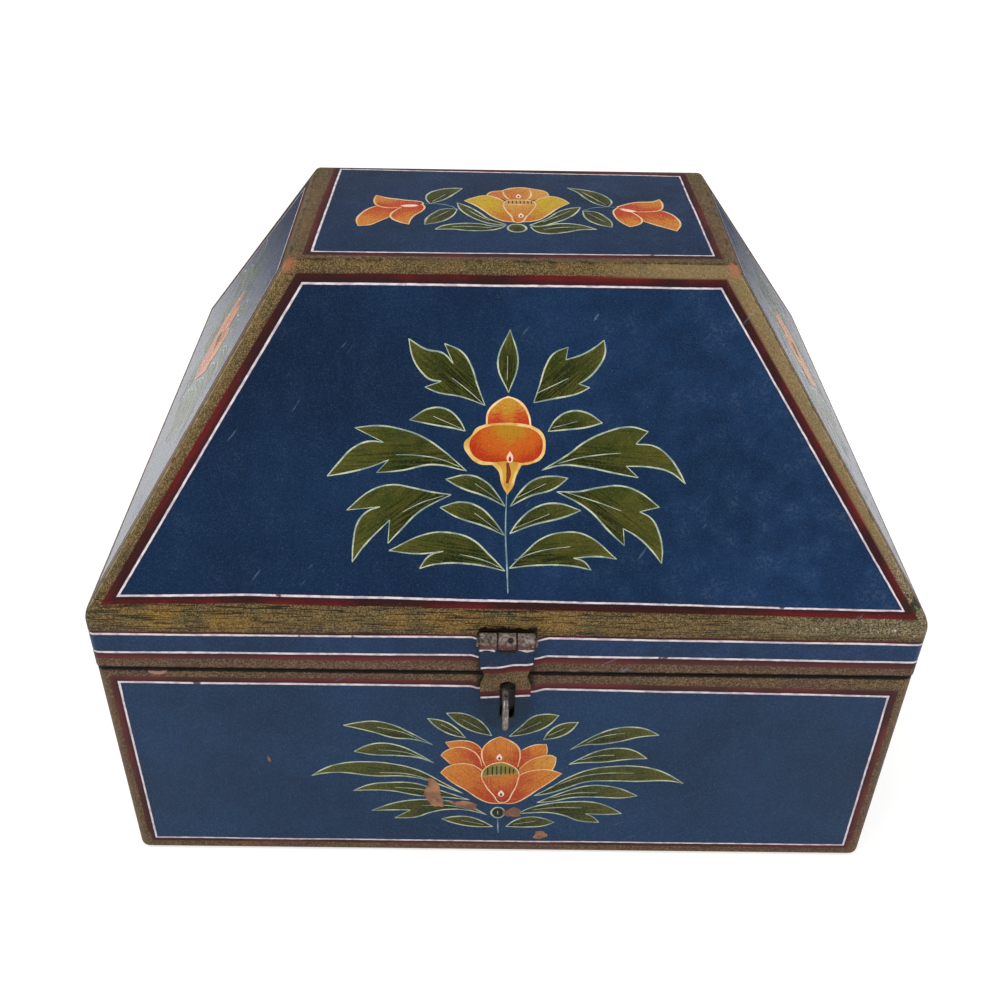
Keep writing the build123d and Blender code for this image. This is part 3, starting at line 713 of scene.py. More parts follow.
def make_hasp_paint():
    """The hasp: the box's own bands painted over its front, its knuckles rubbed and lit on top by a
    painted highlight, painted shade round its knuckles and slot, and bare iron behind.
    """
    made, s, shader, place = new_material("hasp_paint")
    x, _, z = s.split(place)
    wave = s.plus(s.times(x, 0.15), s.times(s.calc("SINE", s.times(x, 0.6)), 0.25))
    upper = s.minus(z, s.plus(HASP_HIGH_LINE, wave))
    lower = s.minus(s.plus(HASP_LOW_LINE, s.times(x, 0.07)), z)
    inside = s.calc("MAXIMUM", upper, lower)
    inputs = {
        "Place": place,
        "Brushed Place": place,
        "Inside": inside,
        "Red Width": 2.8,
        "White Width": 0.9,
        "Ochre": 0.0,
        "Cracked": 0.0,
        "Rosy": 0.35,
        "Scuffed": 0.5,
    }
    bands = s.effect(BANDS, inputs)
    ragged = s.minus(s.noise(place, 0.6, 4.0), 0.5)
    knuckle = s.fade(s.plus(z, s.times(ragged, 1.0)), 119.5, 120.1)
    worn = worn_and_highlit_knuckles(s, place, bands)
    finish = mix_finish(s, knuckle, bands, worn)
    lip = s.size(s.minus(s.plus(z, s.times(s.calc("SINE", s.times(x, 1.1)), 0.4)), 117.9))
    lip = s.times(s.fade(s.plus(lip, s.times(ragged, 0.5)), 0.7, 0.4), s.fade(s.size(x), 3.9, 4.6))
    colour = s.blend(lip, finish["Colour"], LINE_WHITE)
    # Dark lines in the gaps between the knuckles: painted shade
    gap = s.times(s.fade(s.size(s.minus(s.size(x), 3.3)), 0.6, 0.35), s.fade(z, 117.2, 117.8))
    ends = s.fade(s.plus(s.size(x), s.times(ragged, 0.8)), 9.3, 9.8)

    # Painted shade: black in the slot's rim. Darker blue low down, dark along the plate's side edges, and
    # patchy dirt
    slot_side = s.minus(s.size(s.minus(x, SLOT_X)), 2.7)
    slot_rim = s.times(s.fade(s.plus(slot_side, s.times(ragged, 0.7)), 0.6, 0.1), s.fade(z, 101.8, 101.0))
    slot_rim = s.times(slot_rim, s.fade(z, 83.0, 83.6))
    low_down = s.fade(z, 93.9, 91.9)
    colour = s.blend(s.times(low_down, 0.5), colour, paint(14, 38, 54))
    dirt_and_shade = s.calc("MAXIMUM", gap, s.calc("MAXIMUM", s.times(slot_rim, 0.9), s.times(ends, 0.7)))
    # A dark band under the middle knuckle: a painted shadow
    below_strap = s.times(s.fade(s.size(s.minus(z, 117.3)), 0.95, 0.5), s.fade(s.size(x), 3.5, 3.1))
    dirt_and_shade = s.calc("MAXIMUM", dirt_and_shade, below_strap)
    patchy = s.times(s.fade(s.noise(place, 0.3, 5.0), 0.54, 0.66), 0.5)
    dirt_and_shade = s.calc("MAXIMUM", dirt_and_shade, patchy)
    colour = s.blend(s.times(dirt_and_shade, 0.92), colour, paint(12, 8, 6))
    metal = s.times(s.times(knuckle, s.minus(1.0, dirt_and_shade)), worn["Metallic"])

    # Nobody painted the side that lies against the box
    coordinates = s.node("TexCoord", {})
    _, backwards, _ = s.split(coordinates.outputs["Normal"])
    unpainted = s.fade(backwards, 0.4, 0.7)
    iron = s.effect(IRON, {"Place": place, "Rust": 0.7, "Bright": 0.35})
    finish = mix_finish(s, unpainted, {**finish, "Colour": colour}, iron)
    s.tree.links.new(s.choose(unpainted, metal, iron["Metallic"]), shader.inputs["Metallic"])
    return varnished(made, s, shader, finish)


def make_stroke(name, light, dark):
    """A brush line of paint: two tones that change along it."""
    made, s, shader, place = new_material(name)
    tone = s.fade(s.noise(place, 0.2, 4.0), 0.36, 0.64)
    grain = s.noise(place, 2.0, 3.0)
    colour = s.blend(tone, light, dark)
    colour = s.wash(colour, grain, 0.52, 0.7, 0.4, dark)
    finish = {
        "Colour": colour,
        "Roughness": satin(s, grain),
        "Height": s.times(grain, 0.04),
    }
    return varnished(made, s, shader, finish)


def make_petal(name, foot, tip, flare=0.5, strokes_along=3.0, strokes_across=45.0):
    """Wet-blended paint from one colour at a petal's foot to another at its tip, in fine strokes."""
    made, s, shader, place = new_material(name)
    along, across, _ = s.split(s.node("UVMap", {}).outputs[0])
    drawn = s.join(s.times(along, strokes_along), s.times(across, strokes_across), 0.0)
    strokes = s.noise(drawn, 1.0, 3.0)
    cloudy = s.noise(place, 0.25, 3.0)
    share = s.plus(along, s.times(s.minus(strokes, 0.5), 0.9))
    share = s.plus(share, s.times(s.minus(cloudy, 0.5), 0.5))
    share = s.minus(share, s.times(s.fade(s.size(across), 0.12, 0.34), 0.25))
    colour = s.blend(s.fade(share, flare - 0.4, flare + 0.4), foot, tip)
    grain = s.noise(place, 1.8, 3.0)
    colour = s.wash(colour, grain, 0.56, 0.72, 0.22, paint(236, 190, 130))
    colour = s.wash(colour, grain, 0.46, 0.3, 0.4, paint(104, 42, 24))
    colour = s.wash(colour, strokes, 0.42, 0.28, 0.35, paint(126, 52, 28))
    finish = {
        "Colour": colour,
        "Roughness": satin(s, grain),
        "Height": s.plus(s.times(strokes, 0.05), s.times(grain, 0.03)),
    }
    return varnished(made, s, shader, finish)


def make_leaf():
    """Olive leaf paint, shaded dark beside the midrib with fine strokes that run along the leaf."""
    made, s, shader, place = new_material("leaf_paint")
    along, across, _ = s.split(s.node("UVMap", {}).outputs[0])
    drawn = s.join(s.times(along, 3.0), s.times(across, 60.0), 0.0)
    strokes = s.noise(drawn, 1.0, 4.0)
    cloudy = s.noise(place, 0.12, 2.0)
    olive = s.blend(s.fade(cloudy, 0.35, 0.65), paint(55, 65, 19), paint(77, 77, 25))
    olive = s.wash(olive, along, 0.45, 1.0, 0.5, paint(98, 93, 36))
    middle = s.times(s.fade(along, 1.0, 0.25), s.fade(s.size(across), 0.3, 0.02))
    shade = s.times(middle, s.fade(strokes, 0.38, 0.56))
    colour = s.blend(s.times(shade, 0.95), olive, paint(14, 24, 8))
    colour = s.wash(colour, strokes, 0.5, 0.64, 0.5, paint(32, 40, 14))
    grain = s.noise(place, 1.8, 5.0)
    colour = s.wash(colour, grain, 0.54, 0.7, 0.3, paint(124, 118, 72))
    colour = s.wash(colour, grain, 0.46, 0.32, 0.4, paint(20, 26, 12))
    finish = {
        "Colour": colour,
        "Roughness": satin(s, grain),
        "Height": s.plus(s.times(strokes, 0.04), s.times(grain, 0.03)),
    }
    return varnished(made, s, shader, finish)


def make_bulb():
    """The rose's round heart: gold at the top middle, through orange to red at its sides and foot."""
    made, s, shader, place = new_material("bulb_paint")
    along, across, _ = s.split(s.node("UVMap", {}).outputs[0])
    cloudy = s.minus(s.noise(place, 0.3, 5.0), 0.5)
    above_heart = s.times(s.minus(along, 0.95), 1.1)
    away = s.calc("SQRT", s.plus(s.times(above_heart, above_heart), s.times(across, across)))
    away = s.plus(away, s.times(cloudy, 0.5))
    colour = s.blend(s.fade(away, 0.2, 0.7), paint(178, 128, 26), paint(196, 90, 22))
    colour = s.blend(s.fade(away, 0.7, 1.1), colour, paint(178, 50, 14))
    grain = s.noise(place, 1.8, 5.0)
    colour = s.wash(colour, grain, 0.54, 0.7, 0.25, paint(216, 140, 60))
    colour = s.wash(colour, grain, 0.46, 0.3, 0.4, paint(110, 36, 14))
    finish = {
        "Colour": colour,
        "Roughness": satin(s, grain),
        "Height": s.plus(s.times(cloudy, 0.05), s.times(grain, 0.03)),
    }
    return varnished(made, s, shader, finish)


PAINTS = {
    "leaf": make_leaf(),
    "leaf_line": make_stroke("leaf_line_paint", paint(204, 212, 180), paint(134, 154, 146)),
    "stem_line": make_stroke("stem_line_paint", paint(150, 178, 184), paint(104, 134, 150)),
    "flame": make_petal("flame_petal_paint", paint(174, 58, 26), paint(202, 122, 46)),
    "honey": make_petal("honey_petal_paint", paint(194, 112, 42), paint(204, 148, 62)),
    "amber": make_petal("amber_petal_paint", paint(192, 92, 30), paint(206, 146, 56)),
    "lemon": make_petal("lemon_petal_paint", paint(188, 100, 34), paint(196, 162, 36), 0.4),
    "tulip": make_petal("tulip_petal_paint", paint(182, 60, 26), paint(202, 126, 44), 0.45),
    "cap": make_petal("cap_petal_paint", paint(190, 54, 24), paint(196, 140, 42), 0.26, 18.0, 3.0),
    "bulb": make_bulb(),
    "tail": make_stroke("tail_paint", paint(206, 160, 60), paint(190, 136, 50)),
    "rust_line": make_stroke("rust_line_paint", paint(140, 50, 22), paint(110, 36, 18)),
    "petal_line": make_stroke("petal_line_paint", paint(250, 220, 172), paint(232, 172, 114)),
    "white_line": make_stroke("white_line_paint", paint(242, 212, 162), paint(228, 182, 120)),
    "halo": make_stroke("halo_paint", paint(232, 200, 128), paint(206, 156, 70)),
    "seed": make_stroke("seed_paint", paint(140, 126, 58), paint(118, 110, 50)),
    "seed_line": make_stroke("seed_line_paint", paint(184, 180, 120), paint(150, 146, 90)),
    "dark_seed": make_stroke("dark_seed_paint", paint(34, 44, 16), paint(24, 32, 12)),
    "drop": make_stroke("drop_paint", paint(250, 222, 204), paint(244, 200, 176)),
    "drop_core": make_stroke("drop_core_paint", paint(104, 26, 18), paint(132, 42, 24)),
    "primer": make_stroke("primer_patch", paint(176, 124, 92), paint(116, 84, 66)),
}

# Painted flowers. An outline goes corner, bends, corner, bends and back to its first corner,
# which is the leaf's or petal's foot. Each leaf is followed by its midrib. A shape has a paint, a
# level and an outline, and a line a paint, a level, half its width and its points. A drop has its
# middle, width and height, and a chip also its tilt in degrees.
SLOPE_LEAVES = [
    ([(-0.7, 80.7), [(-4.6, 91)], (-0.4, 102.9), [(2.5, 91.4)]], [(-1.2, 85), (-1.2, 93.6)]),
    (
        [
            (-8.9, 76.1), [(-11.6, 83), (-14, 90), (-17.3, 94.8)], (-23.4, 97.7), [], (-20.2, 90.6),
            [(-23.8, 94.2), (-30, 95.6)], (-36, 99.2), [(-34.3, 92.1), (-31, 87.2), (-28.2, 85)],
            (-24.3, 84.4), [], (-30.1, 82.3), [(-25.7, 80.5), (-17, 79)],
        ],
        [(-9.3, 76.4), (-14, 80.6), (-20.7, 85.7)],
    ),
    (
        [
            (8.2, 77.3), [(10.4, 84), (12.2, 90), (15, 94.6)], (20.1, 97), [], (19.3, 92.5),
            [(25, 94.4), (29.5, 97)], (32.7, 99.6), [(33.1, 95), (30.7, 90), (27.1, 86.1)], (23.9, 84.1),
            [], (27.9, 82.9), [(23.6, 80.7), (15.7, 78.9)],
        ],
        [(9.6, 80.8), (15, 83.4), (20.4, 86.1)],
    ),
    (
        [(-15.7, 67), [(-18, 71), (-22, 74.4), (-28, 74.9)], (-35.4, 70.7), [(-27, 69.1), (-20, 68)]],
        [(-17.1, 67.9), (-27.1, 72.1)],
    ),
    (
        [
            (13.4, 67.3), [(16.4, 71.8), (21.4, 74.5), (27.1, 73.9)], (32.5, 70.5),
            [(27, 68.9), (19, 67.9)],
        ],
        [(15, 68.6), (23.6, 70.9)],
    ),
    (
        [
            (-15.1, 53), [(-24.3, 60.7), (-31, 64.9), (-38, 67.3), (-46, 68.5)], (-54.6, 67.7), [],
            (-44.4, 62.7), [(-50, 62.9), (-55.5, 60.3), (-59.6, 56)], (-64.1, 50.6),
            [(-57, 51.9), (-49.3, 53.9)], (-42.5, 56.6), [], (-46.8, 52), [(-38, 52.9), (-27, 55.1)],
        ],
        [(-17.5, 54.4), (-24, 56.9), (-32, 58.2), (-40, 58.4)],
    ),
    (
        [
            (11.4, 53.6), [(20.7, 59.3), (26, 63.4), (33.6, 67.2), (42.5, 69.2)], (48.7, 67.7), [],
            (44.4, 63.2), [(51, 62.5), (56, 59), (60, 53.4)], (62.1, 49.4), [(57, 53.3), (50, 55.1)],
            (41.1, 55.4), [], (45.4, 51.4), [(37, 52.9), (26, 55), (18, 55.4)],
        ],
        [(17, 56), (24, 58), (32, 59.3), (39.3, 60)],
    ),
    (
        [
            (-20.4, 44.6), [(-27.1, 45.4), (-34, 46.8), (-41.4, 47.8), (-48.6, 45.7)], (-57.1, 38.7), [],
            (-45.4, 40), [(-50, 38.2), (-53.2, 34.3), (-54.6, 28)], (-55, 20.4), [(-50.7, 26.4)],
            (-42, 35.4), [], (-42.5, 27.1), [(-38, 32), (-31.4, 38.6)],
        ],
        [(-23, 44.2), (-31.4, 41.4), (-37.5, 38.2)],
    ),
    (
        [
            (16.8, 46.1), [(24.3, 46.2), (32, 47.8), (39.3, 48.4), (45.7, 46.4)], (53, 41.1), [],
            (46.1, 39.4), [(50.3, 37), (53, 32), (54.3, 25.7)], (54.1, 21.2), [(50, 26.4), (45, 30.8)],
            (40.4, 33.4), [], (40.9, 27.3), [(35.7, 32.1), (27.9, 40)],
        ],
        [(20, 45.9), (31.4, 42.5), (39.6, 39.6)],
    ),
    (
        [
            (-1.1, 17.9), [(-6.4, 23.2), (-12.9, 28.9), (-20, 31.1), (-28.6, 30.7)], (-42.1, 24.6),
            [(-32, 23.6)], (-22.9, 24.6), [(-27.9, 22.9)], (-31.3, 18.4), [(-25.7, 20), (-12, 20.1)],
        ],
        [(-2.5, 19), (-9.3, 21.8), (-17.1, 23.6)],
    ),
    (
        [
            (0.4, 18.9), [(5.7, 24.3), (11.4, 29.3), (18.6, 31.7), (27, 31)], (38.2, 22.6),
            [(31.4, 23.4)], (22.9, 22.7), [(26.6, 21.6)], (29.3, 18.6), [(22.9, 19.9), (9, 20)],
        ],
        [(2.1, 21.8), (10.7, 25), (21.8, 26.8)],
    ),
    (
        [(-1.4, 40.7), [(-4.3, 45), (-8, 49), (-14, 51.5)], (-22.5, 50), [(-17.1, 47.1), (-8, 44)]],
        [(-3.6, 42.9), (-12.1, 48.6)],
    ),
    (
        [(0.4, 40.7), [(4, 46), (9, 50.3), (15.7, 51.5)], (20.7, 50.9), [(15.7, 47.1), (7.1, 44.3)]],
        [(2, 43.4), (12.9, 48.9)],
    ),
    (
        [
            (-1.4, 30.4), [(-5.7, 36.1), (-10.7, 40.4), (-17, 42)], (-24.3, 40),
            [(-18.6, 36.8), (-8, 33.4)],
        ],
        [(-3.6, 32.1), (-12.1, 38.2)],
    ),
    (
        [(0.4, 31.1), [(3.6, 35.7), (9.3, 40.4), (16.4, 42)], (25.4, 39.6), [(19.3, 37.1), (8.6, 34.3)]],
        [(2, 33), (14.3, 38.2)],
    ),
]
SLOPE_SHAPES = [
    (
        "petal_line", 1,
        [(-8.5, 69.2), [(-8.1, 73.8), (-5, 77.5)], (-0.8, 79.6), [(4, 77.5), (6.9, 72.8)], (7.5, 69), []],
    ),
    (
        "cap", 2,
        [
            (-0.5, 69.4), [(-5, 69.3)], (-7.9, 69.5),
            [(-7.4, 73.6), (-4.6, 76.8), (-0.9, 78.8), (3.4, 76.8), (6.1, 73)], (6.9, 69.3), [],
        ],
    ),
    (
        "halo", 3,
        [
            (-9, 69.4), [(-4, 70), (3, 70)], (7.6, 69.3),
            [(11.4, 66.8), (12.6, 62.2), (11.4, 57.9), (7.6, 55.8)], (4.2, 55.2),
            [(2.4, 51.4), (1.3, 47.6)], (-0.7, 44.8), [(-2.8, 48.6), (-3.8, 52.8)], (-6, 55.2),
            [(-11, 55.6), (-14.4, 58.4), (-16.2, 62.4), (-13.4, 65.8), (-12, 68)],
        ],
    ),
    (
        "bulb", 4,
        [
            (0, 56.1),
            [
                (-6, 56.2), (-10.6, 57), (-13.7, 60), (-14.1, 63), (-11.9, 66.4), (-8.4, 68.5),
                (-0.5, 69.2),
            ],
            (7, 68.4), [(10.6, 65.8), (11.6, 62), (10.3, 58.4), (7, 56.5)],
        ],
        (0, 70),
    ),
    (
        "tail", 5,
        [
            (-0.8, 45.8), [(-2.2, 50), (-3, 54.4)], (-5, 56.2), [(-0.6, 56.6)], (3.4, 56.2),
            [(1.8, 52.6), (0.6, 49)],
        ],
    ),
]
SLOPE_LINES = [
    ("stem_line", 1, 0.32, [(0, 10), (-0.4, 18.6), (-1.1, 31.4), (-0.9, 45.2)]),
    ("rust_line", 6, 0.8, [(-0.7, 56), (-0.3, 52), (-0.8, 48.8)]),
]
SLOPE_DROPS = [(0.1, 58.2, 2.3, 4.2)]

LOTUS_LEAVES = [
    (
        [
            (-27.3, 65.3), [(-35.8, 71.8), (-42.5, 76.1), (-49.2, 77.9), (-55, 77.2)], (-61, 75.5),
            [(-50, 72), (-42.5, 69), (-34, 68)],
        ],
        [(-31, 67), (-38.3, 71.8), (-48.3, 74.7)],
    ),
    (
        [
            (-26.9, 54.8), [(-33.3, 60.1), (-40, 64.3), (-46.7, 65.8), (-52.5, 64.4)], (-57.7, 60.9),
            [(-50.8, 59.2), (-41, 58.8), (-32.5, 57.6)],
        ],
        [(-30, 57), (-38.3, 60.8), (-48.3, 62)],
    ),
    (
        [
            (-15.4, 36.8),
            [(-23.3, 43), (-33.3, 50.5), (-43.3, 54), (-53.3, 55), (-63.3, 53.8), (-70, 50.7)],
            (-75.2, 46.5),
            [(-71, 47.9), (-63.3, 48.6), (-50.8, 46.8), (-38.3, 46.8), (-30, 44.7), (-21.7, 40.3)],
        ],
        [(-26, 43.4), (-36.7, 48), (-48.3, 48.8)],
    ),
    (
        [
            (-12.9, 33), [(-20, 36.3), (-28.3, 40.1), (-35, 42.7), (-45, 42.9), (-52.5, 41.6)],
            (-59.3, 37.8), [(-52.5, 38.3), (-44.2, 38), (-33.3, 35.3), (-21.7, 34.3)],
        ],
        [(-24, 36.8), (-34, 39.3), (-42.5, 40.1)],
    ),
    (
        [
            (-5.8, 23.8), [(-11.7, 28), (-18.3, 31.3), (-26.7, 32.7), (-36.7, 32.3), (-44.2, 30.1)],
            (-52.5, 25.7), [(-44.2, 26.2)], (-36.7, 26.3), [], (-43.3, 21.2),
            [(-35, 21.8), (-28.3, 25.1), (-21.7, 26.9), (-13.3, 26.5)],
        ],
        [(-12, 26.8), (-22, 29.4), (-32, 29)],
    ),
    (
        [
            (-3.2, 16.3), [(-8.3, 20.1), (-13.3, 22.4), (-19.2, 22.4)], (-24.3, 20.9),
            [(-18.3, 18), (-10.8, 16.3)],
        ],
        [(-7, 17.6), (-16, 20)],
    ),
    (
        [(-14.6, 69.3), [(-18.3, 74.7), (-23.3, 78.5)], (-29, 79.8), [(-25.8, 75.3), (-20, 71)]],
        [(-17, 71.6), (-24, 76.6)],
    ),
    (
        [
            (-4.6, 70.7), [(-7, 76), (-10.4, 79.9), (-15.8, 82.7)], (-21.8, 82.8),
            [(-17.5, 77.2), (-11.7, 73)],
        ],
        [(-8, 73.6), (-16, 79.6)],
    ),
    (
        [
            (2.1, 70.3), [(6.7, 76.3), (10.8, 81.3), (15.8, 82.8)], (20.6, 82.2),
            [(16.7, 76.6), (10, 72.4)],
        ],
        [(5, 72.6), (14, 78.6)],
    ),
    (
        [(15.3, 68.7), [(17.1, 73), (21.7, 77.4)], (28.1, 78.7), [(25.8, 74.3), (21.7, 70.7)]],
        [(17, 71), (23.4, 75.4)],
    ),
    (
        [
            (25.7, 63.2), [(30.8, 68), (36.7, 72.6), (42.5, 75.4), (48.3, 76.3), (54, 75.3)], (59.4, 72),
            [(52, 70.9), (45, 68.4), (38.3, 66.7), (30.8, 65.9)],
        ],
        [(32, 67.4), (38, 71), (46.3, 73)],
    ),
    (
        [
            (25.8, 54.8), [(30.8, 58.8), (36.7, 62.7), (43.3, 64.4), (50, 63.4)], (56.1, 58.7),
            [(48.3, 58.1), (39.2, 56.4), (30, 55.8)],
        ],
        [(30, 57.4), (36, 59.7), (43.3, 60.5)],
    ),
    (
        [
            (12.9, 35.9),
            [
                (19.2, 40.9), (25.8, 46.8), (35, 52.2), (43.3, 53.9), (51.7, 54.2), (59.2, 52.7),
                (65, 49.7),
            ],
            (71.8, 44.4), [(65.8, 45.8), (53.3, 45.3), (40.8, 45.4), (33, 44.6), (25, 40.5), (19, 37.6)],
        ],
        [(22, 42.6), (30.8, 47.6), (40, 49.8), (51.7, 50.1)],
    ),
    (
        [
            (14.2, 31.8), [(20, 35.5), (27.5, 39.8), (34.2, 42.3), (40.8, 42.4), (47.5, 40.5)],
            (54.2, 36.5), [(48.3, 35.2), (38.3, 35.5), (28.3, 35.1), (20, 32.6)],
        ],
        [(20, 34.6), (28.3, 37.6), (38.3, 38.2)],
    ),
    (
        [
            (6.7, 24.7), [(11.7, 28.4), (20, 31.4), (28.3, 32.5), (36.7, 32.3), (42.5, 30.1)],
            (48.8, 25.5), [(42.5, 24.8)], (34.2, 25.1), [(37.5, 23)], (40, 19.7),
            [(31.7, 20.7), (25.8, 23.8), (19.2, 25.6), (11.7, 25.3)],
        ],
        [(12.5, 27), (20, 28.6), (32.5, 28.8)],
    ),
    (
        [
            (2.1, 16.5), [(5.8, 20.5), (11.7, 22.7), (17.5, 21.8)], (21.8, 19.5),
            [(17.5, 17.2), (10, 16.3)],
        ],
        [(5, 18), (14, 20)],
    ),
]
LOTUS_SHAPES = [
    (
        "flame", 1,
        [
            (-9, 50), [(-17, 57)], (-20.2, 63.2), [], (-22.3, 66.8),
            [(-14.2, 67.6), (-10, 65.3), (-7.6, 61)], (-6, 54), [],
        ],
    ),
    (
        "flame", 1,
        [
            (8, 50), [(15, 55)], (16.4, 59.3), [(17, 62.4)], (16.5, 66.2), [(11.7, 65.6), (7.1, 62.6)],
            (4.6, 56), [],
        ],
    ),
    (
        "flame", 2,
        [
            (-8, 48), [(-16, 51)], (-20.4, 54.3), [(-22.6, 57.4)], (-24.2, 59.4),
            [(-21.7, 62.2), (-16.7, 64), (-11.7, 61.8), (-9, 57.6)], (-7.8, 52), [],
        ],
    ),
    (
        "amber", 2,
        [
            (6, 46), [(14, 49)], (19.2, 50.4), [(20.4, 54.7)], (20.6, 58.8),
            [(18.3, 60), (14.2, 58.9), (10, 56.3)], (6.4, 51.6), [],
        ],
    ),
    (
        "flame", 3,
        [
            (-1, 46), [(-5.6, 50), (-8, 57.4), (-7.9, 63), (-5, 67.8)], (-1.4, 70.3),
            [(2.5, 68), (5.6, 64.7), (6.6, 60.5), (5.8, 52.2)],
        ],
    ),
    (
        "flame", 4,
        [
            (-0.5, 31), [(-5, 31.4), (-9.2, 33.9), (-14.2, 38.8), (-20, 43.8)], (-24.3, 49.3),
            [(-21.7, 52.6), (-16.7, 54.5), (-11.7, 53.8)], (-7.6, 50.2), [(-6, 42)],
        ],
    ),
    (
        "flame", 4,
        [
            (0.5, 31), [(5, 31.4), (9.6, 34.8), (14.2, 39.7), (19.2, 44.7)], (23.3, 49.5),
            [(18.3, 51.5), (13.3, 51.3), (8.3, 49.4)], (5.6, 46.4), [(5, 40)],
        ],
    ),
    (
        "flame", 5,
        [
            (0.2, 31.6), [(-3.5, 36.4), (-6.7, 42.2), (-8.2, 48), (-6.7, 52.4)], (-1.3, 55.5),
            [(3.3, 54), (6.4, 49.7), (6.2, 45.5), (4.6, 38.8)],
        ],
    ),
    ("seed", 6, [(-7.9, 47.5), [(-7, 52), (-4, 54.8), (-1.3, 55.4), (3.2, 53.9)], (6.3, 49.6), []]),
    ("dark_seed", 1, [(-1.3, 22.4), [(-3.4, 24), (-3.4, 26.4), (-1.3, 28), (0.8, 26.4), (0.8, 24)]]),
]
LOTUS_LINES = [
    ("petal_line", 1, 0.27, [(-20.4, 63.2), (-22.3, 66.8)]),
    ("petal_line", 1, 0.27, [(-22.3, 66.8), (-14.2, 67.6), (-10, 65.3), (-7.8, 61.4)]),
    ("petal_line", 1, 0.27, [(16.5, 59.3), (17, 62.4), (16.5, 66.2)]),
    ("petal_line", 1, 0.27, [(16.5, 66.2), (11.7, 65.6), (7.1, 62.6)]),
    ("petal_line", 2, 0.27, [(-20.4, 54.3), (-22.6, 57.4), (-24.2, 59.4)]),
    (
        "petal_line", 2, 0.27,
        [(-24.2, 59.4), (-21.7, 62.2), (-16.7, 64), (-11.7, 61.8), (-9.2, 58), (-8.2, 53.4)],
    ),
    ("petal_line", 2, 0.27, [(19.2, 50.8), (20.4, 54.7), (20.6, 58.8)]),
    ("petal_line", 2, 0.27, [(20.6, 58.8), (18.3, 60), (14.2, 58.9), (10, 56.3), (6.4, 51.6)]),
    ("petal_line", 3, 0.3, [(-6.6, 53), (-8, 57.4), (-7.9, 63), (-5, 67.8), (-1.4, 70.3)]),
    ("petal_line", 3, 0.3, [(-1.4, 70.3), (2.5, 68), (5.6, 64.7), (6.6, 60.5), (5.9, 53)]),
    (
        "petal_line", 4, 0.3,
        [(0, 31), (-5, 31.4), (-9.2, 33.9), (-14.2, 38.8), (-20, 43.8), (-24.3, 49.3)],
    ),
    ("petal_line", 4, 0.3, [(-24.3, 49.3), (-21.7, 52.6), (-16.7, 54.5), (-11.7, 53.8), (-8, 50.6)]),
    ("petal_line", 4, 0.3, [(0, 31), (5, 31.4), (9.6, 34.8), (14.2, 39.7), (19.2, 44.7), (23.3, 49.5)]),
    ("petal_line", 4, 0.3, [(23.3, 49.5), (18.3, 51.5), (13.3, 51.3), (8.3, 49.4), (5.8, 46.8)]),
    (
        "petal_line", 6, 0.3,
        [
            (0.2, 31.6), (-3.5, 36.4), (-6.7, 42.2), (-8.2, 48), (-6.7, 52.4), (-1.3, 55.5), (3.3, 54),
            (6.4, 49.7), (6.2, 45.5), (4.6, 38.8), (0.2, 31.6),
        ],
    ),
    ("seed_line", 6, 0.3, [(-7.8, 47.3), (-1, 48.7), (6.3, 49.6)]),
    (
        "leaf_line", 1, 0.36,
        [(-1.3, 22), (-3.7, 23.8), (-3.7, 26.7), (-1.3, 28.5), (1.1, 26.7), (1.1, 23.8), (-1.3, 22)],
    ),
    ("leaf_line", 3, 0.26, [(-1.3, 24.2), (-1.5, 26.4)]),
    ("stem_line", 1, 0.3, [(-1.3, 21.4), (-1.2, 17), (-1, 12.4)]),
]
for seed_x in (-5.8, -4, -2.3, -0.6, 1.1, 2.8, 4.3):
    seed_low = (seed_x, 48.6 + 0.1 * seed_x)
    seed_high = (seed_x, 53.6 - 0.06 * (seed_x + 1) ** 2)
    LOTUS_LINES.append(("dark_seed", 7, 0.43, [seed_low, seed_high]))
LOTUS_DROPS = [(-1.4, 58.8, 2.2, 3.8), (-0.3, 37.4, 2.4, 4.0)]
LOTUS_CHIPS = [
    (-27.2, 36.6, 6.6, 17.4, 8),
    (-14.6, 30.0, 11.0, 4.2, -14),
    (4.6, 25.6, 7.4, 5.6, 10),
    (16.3, 11.4, 5.6, 5.0, 30),
    (-91, 56, 1.2, 3.2, 10),
]

